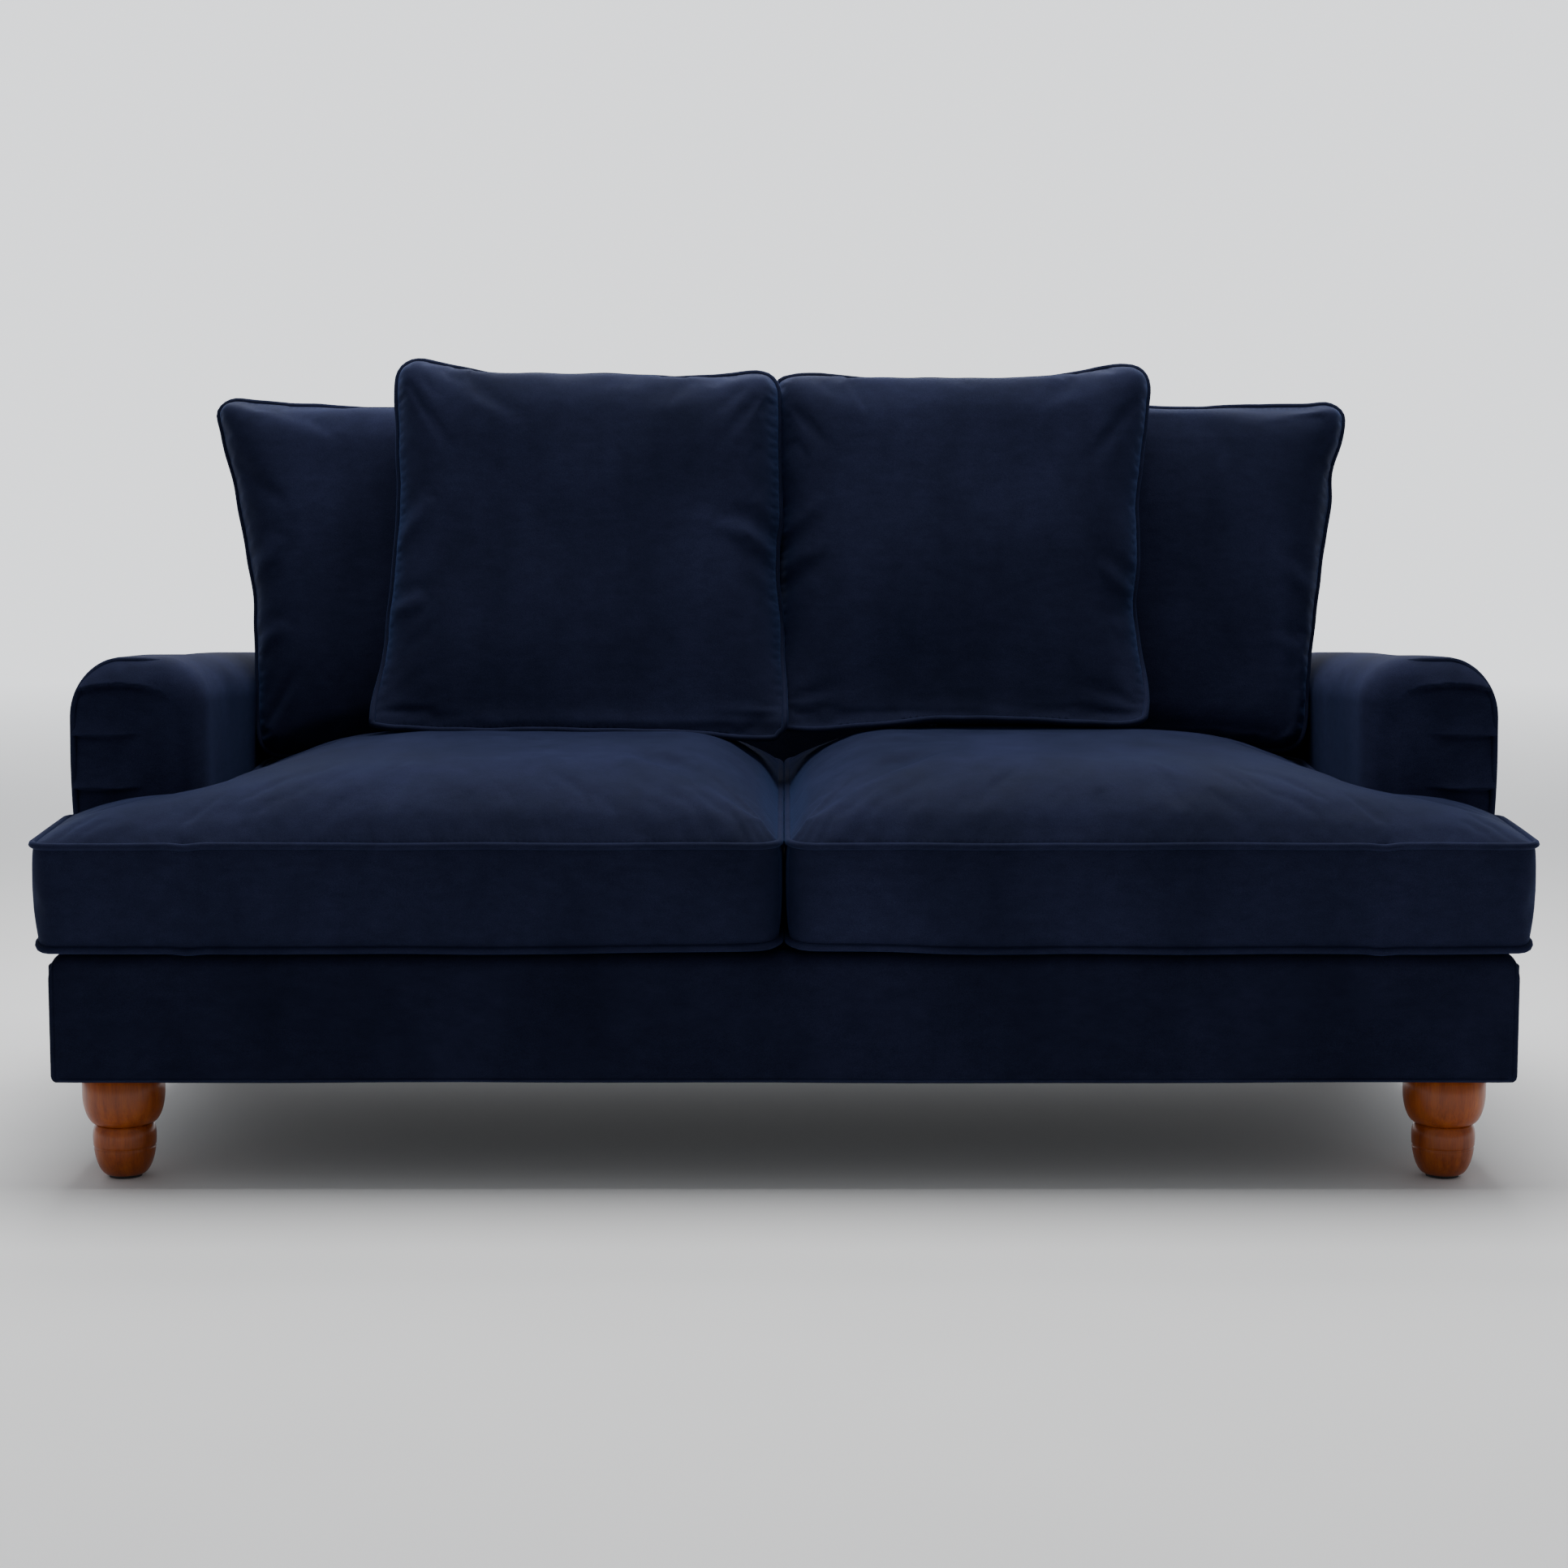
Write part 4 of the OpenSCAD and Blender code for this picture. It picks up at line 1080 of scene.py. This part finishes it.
def extrude_x(name, outline, x_low, x_high, spacing, soft, *nodes, ripple, seed=0.0, corners=(0, 0), seam=0.0):
    """A long upholstered block with that outline in depth and height.

    Its ends are rounded by soft, its bottom and top corners, seen from the front, by corners, and
    a seam runs up its front at that distance from each end.
    """
    out = normals(outline)
    if np.cross(outline, np.roll(outline, -1, axis=0)).sum() < 0:
        out = -out
    distances = [soft * (1 - math.cos(a)) for a in np.linspace(0, math.pi / 2, 5)]
    distances += [seam - SEAM_DEPTH, seam, seam + SEAM_DEPTH] if seam else []
    distances += [d for d in np.arange(END_STEP, END_ZONE, END_STEP) if d > max(distances) + END_STEP / 2]
    first, last = x_low + END_ZONE + END_STEP, x_high - END_ZONE - END_STEP
    stations = [(x_low + d, d) for d in distances]
    stations += [(x, PLAIN) for x in np.linspace(first, last, int((x_high - x_low) / spacing))]
    stations += [(x_high - d, d) for d in reversed(distances)]
    bottom, top = outline[:, 1].min(), outline[:, 1].max()
    points, count = [], len(outline)
    for x, d in stations:
        inset = bent_back(soft, d)
        groove = SEAM_DEPTH if seam and d == seam else 0.0
        down, up = (bent_back(r, d) for r in corners)
        fade = min(1.0, d / PLAIN)
        for p, n in zip(outline, out):
            wave = ripple * fade * noise_at(x * 3 + seed, p[0] * 6, p[1] * 6)
            share = (p[1] - bottom) / (top - bottom)
            z = p[1] + up * min(1 - share * 2, 0) + down * max(1 - share * 4, 0)
            away = inset + groove * (n[0] < -0.5) - wave
            points.append((x, p[0] - n[0] * away, z - n[1] * away))
    faces = skin(len(stations), count)
    faces.append(tuple(range(count)))
    faces.append(tuple((len(stations) - 1) * count + i for i in range(count)))
    obj = new_piece(name, points, faces, "velvet", "sofa_frame", *nodes)
    tidy_mesh(obj)
    return obj


BORDER_WALL = 0.014  # thickness of the front border
STRIP = 0.067  # depth of its top, which runs back under the cushions
BACK_LEAN = 0.14  # how far the back's face leans for each metre up


def base():
    """The front border, the ledges under the cushions' ears, the side borders and the hem."""
    wall, top = BORDER_WALL, BASE_HIGH.z
    front, strip = BASE_LOW.y, BASE_LOW.y + STRIP
    outline = rounded([(front, BASE_LOW.z), (front, top), (strip, top), (strip, top - wall + 0.0005),
                       (front + wall, top - wall + 0.0005), (front + wall, BASE_LOW.z)],
                      [0.004, 0.02, 0.003, 0.003, 0.004, 0.004], 0.004)
    border = extrude_x("front_border_cover", outline, -BASE_HIGH.x, BASE_HIGH.x, 0.012, 0.006, "front_border",
                       ripple=0.002, corners=(0.007, 0.024), seam=0.0075)
    # painted shade: the front border gets the darker copy of the velvet
    border.data.materials[0] = PAINTED_SHADE_VELVET
    for side, way in (("left", -1), ("right", 1)):
        xs = sorted((way * ARM_INNER, way * BASE_HIGH.x))
        ledge = soft_box(f"ear_ledge_{side}", (xs[0], strip + 0.0005, RAIL_TOP + 0.0005),
                         (xs[1], BASE_HIGH.y, top - 0.001), (0.006, 0.003, 0.006), 0.012,
                         puff=(0, 0, 0.001), ripple=0.0006)
        lowest, highest = low(f"side_border_{side}"), high(f"side_border_{side}")
        panel = soft_box(f"side_border_{side}_cover", (lowest.x, lowest.y - 0.008, lowest.z),
                         (highest.x, highest.y + 0.004, highest.z), (0.006, 0.006, 0.004), 0.014,
                         f"side_border_{side}", puff=(0.0015, 0, 0), ripple=0.0012, seed=way * 3.0)
        # painted shade: the side borders get the darker copy of the velvet
        panel.data.materials[0] = PAINTED_SHADE_VELVET
    ends = [(way * (BASE_HIGH.x - 0.012), front - 0.0006, BASE_LOW.z + 0.0035) for way in (-1, 1)]
    tube("front_hem", even(ends, 0.02, closed=False), 0.0014, "sofa_frame", closed=False, sides=8)


def back():
    """The padded back behind the cushions and the panels that close it behind."""
    pad_low, pad_high = low("back_pad"), high("back_pad")
    lean = (pad_high.z - pad_low.z) * BACK_LEAN
    face = pad_low.y
    tucked = pad_low.z - 0.012  # its lower edge is tucked in behind the seat
    outline = rounded([(face, tucked), (face + lean, pad_high.z), (BACK_Y, pad_high.z), (BACK_Y - 0.003, tucked)],
                      [0.008, 0.036, 0.028, 0.004], 0.012)
    pad = extrude_x("back_pad_cover", outline, pad_low.x, pad_high.x, 0.014, 0.014, "back_pad", ripple=0.004, seed=4.0)
    panel_low, panel_high = low("back_panel"), high("back_panel")
    lower = soft_box("back_panel_lower", panel_low, (panel_high.x, BACK_Y, RAIL_TOP), (0.006, 0.006, 0.004), 0.014,
                     "back_panel", puff=(0, 0.001, 0), ripple=0.0012)
    # painted shade: the lower back panel gets the darker copy of the velvet
    lower.data.materials[0] = PAINTED_SHADE_VELVET
    upper = soft_box("back_panel_upper", (pad_low.x + 0.004, BACK_Y - 0.004, RAIL_TOP + 0.003),
                     (pad_high.x - 0.004, BACK_Y + 0.002, panel_high.z), (0.002, 0.002, 0.002), 0.014,
                     puff=(0, 0.001, 0), ripple=0.0008)


# ---- Feet ----

GLIDE_TOP = 0.003  # top of the glide under the foot
# Radii at the foot's lower end, at its bead, in the neck over it and at the cup on top.
FOOT_LOW, FOOT_BEAD, FOOT_NECK, FOOT_CUP = 0.021, 0.0403, 0.035, 0.0525
# Heights of the bead, the neck and the groove turned below the bead, and how far the cup rises over the neck.
BEAD_Z, NECK_Z, GROOVE_Z, CUP_RISE = 0.054, 0.070, 0.040, 0.043
BOLT, BOLT_DEPTH = 0.0041, 0.036  # radius and depth of the bolt's hole
FOOT_TURNS = 96  # points round the foot


def foot_radius_below(z):
    """Radius of the foot's round lower part, from the glide up to the bead."""
    return FOOT_LOW + (FOOT_BEAD - FOOT_LOW) * math.sqrt(max(0, 1 - ((BEAD_Z - z) / (BEAD_Z - GLIDE_TOP)) ** 2))


def foot(corner):
    """A turned foot with the hole for its bolt."""
    lowest, highest = low(f"foot_{corner}"), high(f"foot_{corner}")
    x, y, top = (lowest.x + highest.x) / 2, (lowest.y + highest.y) / 2, highest.z
    profile = [(0, GLIDE_TOP), (FOOT_LOW - 0.001, GLIDE_TOP), (FOOT_LOW, GLIDE_TOP + 0.0006)]
    for k in range(1, 44):
        z = GLIDE_TOP + (BEAD_Z - GLIDE_TOP) * k / 43
        cut = 0.0016 * math.exp(-((z - GROOVE_Z) / 0.0009) ** 2)
        profile.append((foot_radius_below(z) - cut, z))
    for k in range(1, 25):
        a = math.pi / 2 * (1 - k / 24)
        z = NECK_Z - (NECK_Z - BEAD_Z) * (1 - math.cos(a))
        profile.append((FOOT_NECK + (FOOT_BEAD - FOOT_NECK) * math.sin(a), z))
    for k in range(1, 33):
        a = math.pi / 2 * k / 32
        profile.append((FOOT_NECK + (FOOT_CUP - FOOT_NECK) * math.sin(a), NECK_Z + CUP_RISE * (1 - math.cos(a))))
    profile += [(FOOT_CUP, top - 0.001), (FOOT_CUP - 0.001, top), (BOLT, top), (BOLT, top - BOLT_DEPTH),
                (0, top - BOLT_DEPTH)]
    angles = [2 * math.pi * k / FOOT_TURNS for k in range(FOOT_TURNS)]
    points = [(x + r * math.cos(a), y + r * math.sin(a), z) for r, z in profile for a in angles]
    turned = new_piece(f"foot_{corner}_turned", points, skin(len(profile), FOOT_TURNS), "stained_wood", "sofa_frame",
                       f"foot_{corner}")
    tidy_mesh(turned, 0.00001)


# ---- Camera, lights and floor ----

CAMERA_BACK = 3.6  # metres from the sofa's front to the camera
CAMERA_HEIGHT = 0.903
CAMERA_PITCH = math.radians(6.1)
FOCAL = 67.2
WORLD_FRONT, WORLD_BACK = 0.31, 1.7  # brightness of the surroundings before and behind the sofa
DAYLIGHT = (0.95, 0.97, 1.0, 1)
FLOOR_REACH = 60.0  # how far the floor runs out each way


def camera():
    data = bpy.data.cameras.new("camera")
    data.lens = FOCAL
    data.sensor_width = 36
    obj = bpy.data.objects.new("camera", data)
    obj.location = (0, FRONT_Y - CAMERA_BACK, CAMERA_HEIGHT)
    obj.rotation_euler = (math.pi / 2 - CAMERA_PITCH, 0, 0)
    bpy.context.scene.collection.objects.link(obj)
    bpy.context.scene.camera = obj


def area_light(name, where, target, size, power):
    data = bpy.data.lights.new(name, "AREA")
    data.shape = "RECTANGLE"
    data.size, data.size_y = size
    data.energy = power
    obj = bpy.data.objects.new(name, data)
    obj.location = where
    obj.rotation_euler = (Vector(target) - Vector(where)).to_track_quat("-Z", "Y").to_euler()
    bpy.context.scene.collection.objects.link(obj)


def towards_back(tree, direction):
    """Brightness of the surroundings in a direction: low in front and at the sides, high behind the sofa."""
    unit = node(tree, "ShaderNodeVectorMath", {"operation": "NORMALIZE"})
    parts = node(tree, "ShaderNodeSeparateXYZ")
    tree.links.new(direction, unit.inputs[0])
    tree.links.new(unit.outputs["Vector"], parts.inputs["Vector"])
    return spread(tree, parts.outputs["Y"], WORLD_FRONT, WORLD_BACK, 0.45, 0.9)


def studio_floor():
    """A pale floor that brightens into the surroundings far from the sofa, so that no horizon shows."""
    material = bpy.data.materials.new("studio_floor")
    material.use_nodes = True
    tree = material.node_tree
    shader = tree.nodes["Principled BSDF"]
    where = coordinates(tree, EVEN)
    cloud = noise_value(tree, where, 3.0, 2.0)
    tree.links.new(ramp(tree, cloud, (0.3, (0.86, 0.86, 0.86)), (0.7, (0.88, 0.88, 0.88))), shader.inputs["Base Color"])
    set_all(shader, Roughness=0.8)
    distance = node(tree, "ShaderNodeVectorMath", {"operation": "LENGTH"})
    tree.links.new(where, distance.inputs[0])
    fade = spread(tree, distance.outputs["Value"], 0.0, 1.0, 2.0, 9.0)
    glow = node(tree, "ShaderNodeEmission", Color=DAYLIGHT)
    tree.links.new(towards_back(tree, where), glow.inputs["Strength"])
    both = node(tree, "ShaderNodeMixShader")
    tree.links.new(fade, both.inputs[0])
    tree.links.new(shader.outputs["BSDF"], both.inputs[1])
    tree.links.new(glow.outputs["Emission"], both.inputs[2])
    tree.links.new(both.outputs["Shader"], tree.nodes["Material Output"].inputs["Surface"])
    mesh = bpy.data.meshes.new("floor")
    corners = [(x * FLOOR_REACH, y * FLOOR_REACH, 0) for x, y in ((-1, -1), (1, -1), (1, 1), (-1, 1))]
    mesh.from_pydata(corners, [], [(0, 1, 2, 3)])
    mesh.materials.append(material)
    floor = bpy.data.objects.new("floor", mesh)
    bpy.context.scene.collection.objects.link(floor)


def studio():
    world = bpy.data.worlds.new("studio")
    bpy.context.scene.world = world
    world.use_nodes = True
    tree = world.node_tree
    background = tree.nodes["Background"]
    set_all(background, Color=DAYLIGHT)
    where = node(tree, "ShaderNodeTexCoord")
    tree.links.new(towards_back(tree, where.outputs["Generated"]), background.inputs["Strength"])
    area_light("top_softbox", (0, 0.2, 3.3), (0, 0, 0.4), (2.6, 2.0), 125)
    area_light("back_softbox", (0, 1.9, 2.6), (0, 0.2, 0.8), (3.0, 0.8), 45)
    studio_floor()


camera()
studio()
dress_cad_nodes()
seat_cushions()
for cushion in OUTLINES:
    pillow(cushion)
for side in SIDES:
    arm(side)
base()
back()
for corner in ("front_left", "front_right", "rear_left", "rear_right"):
    foot(corner)
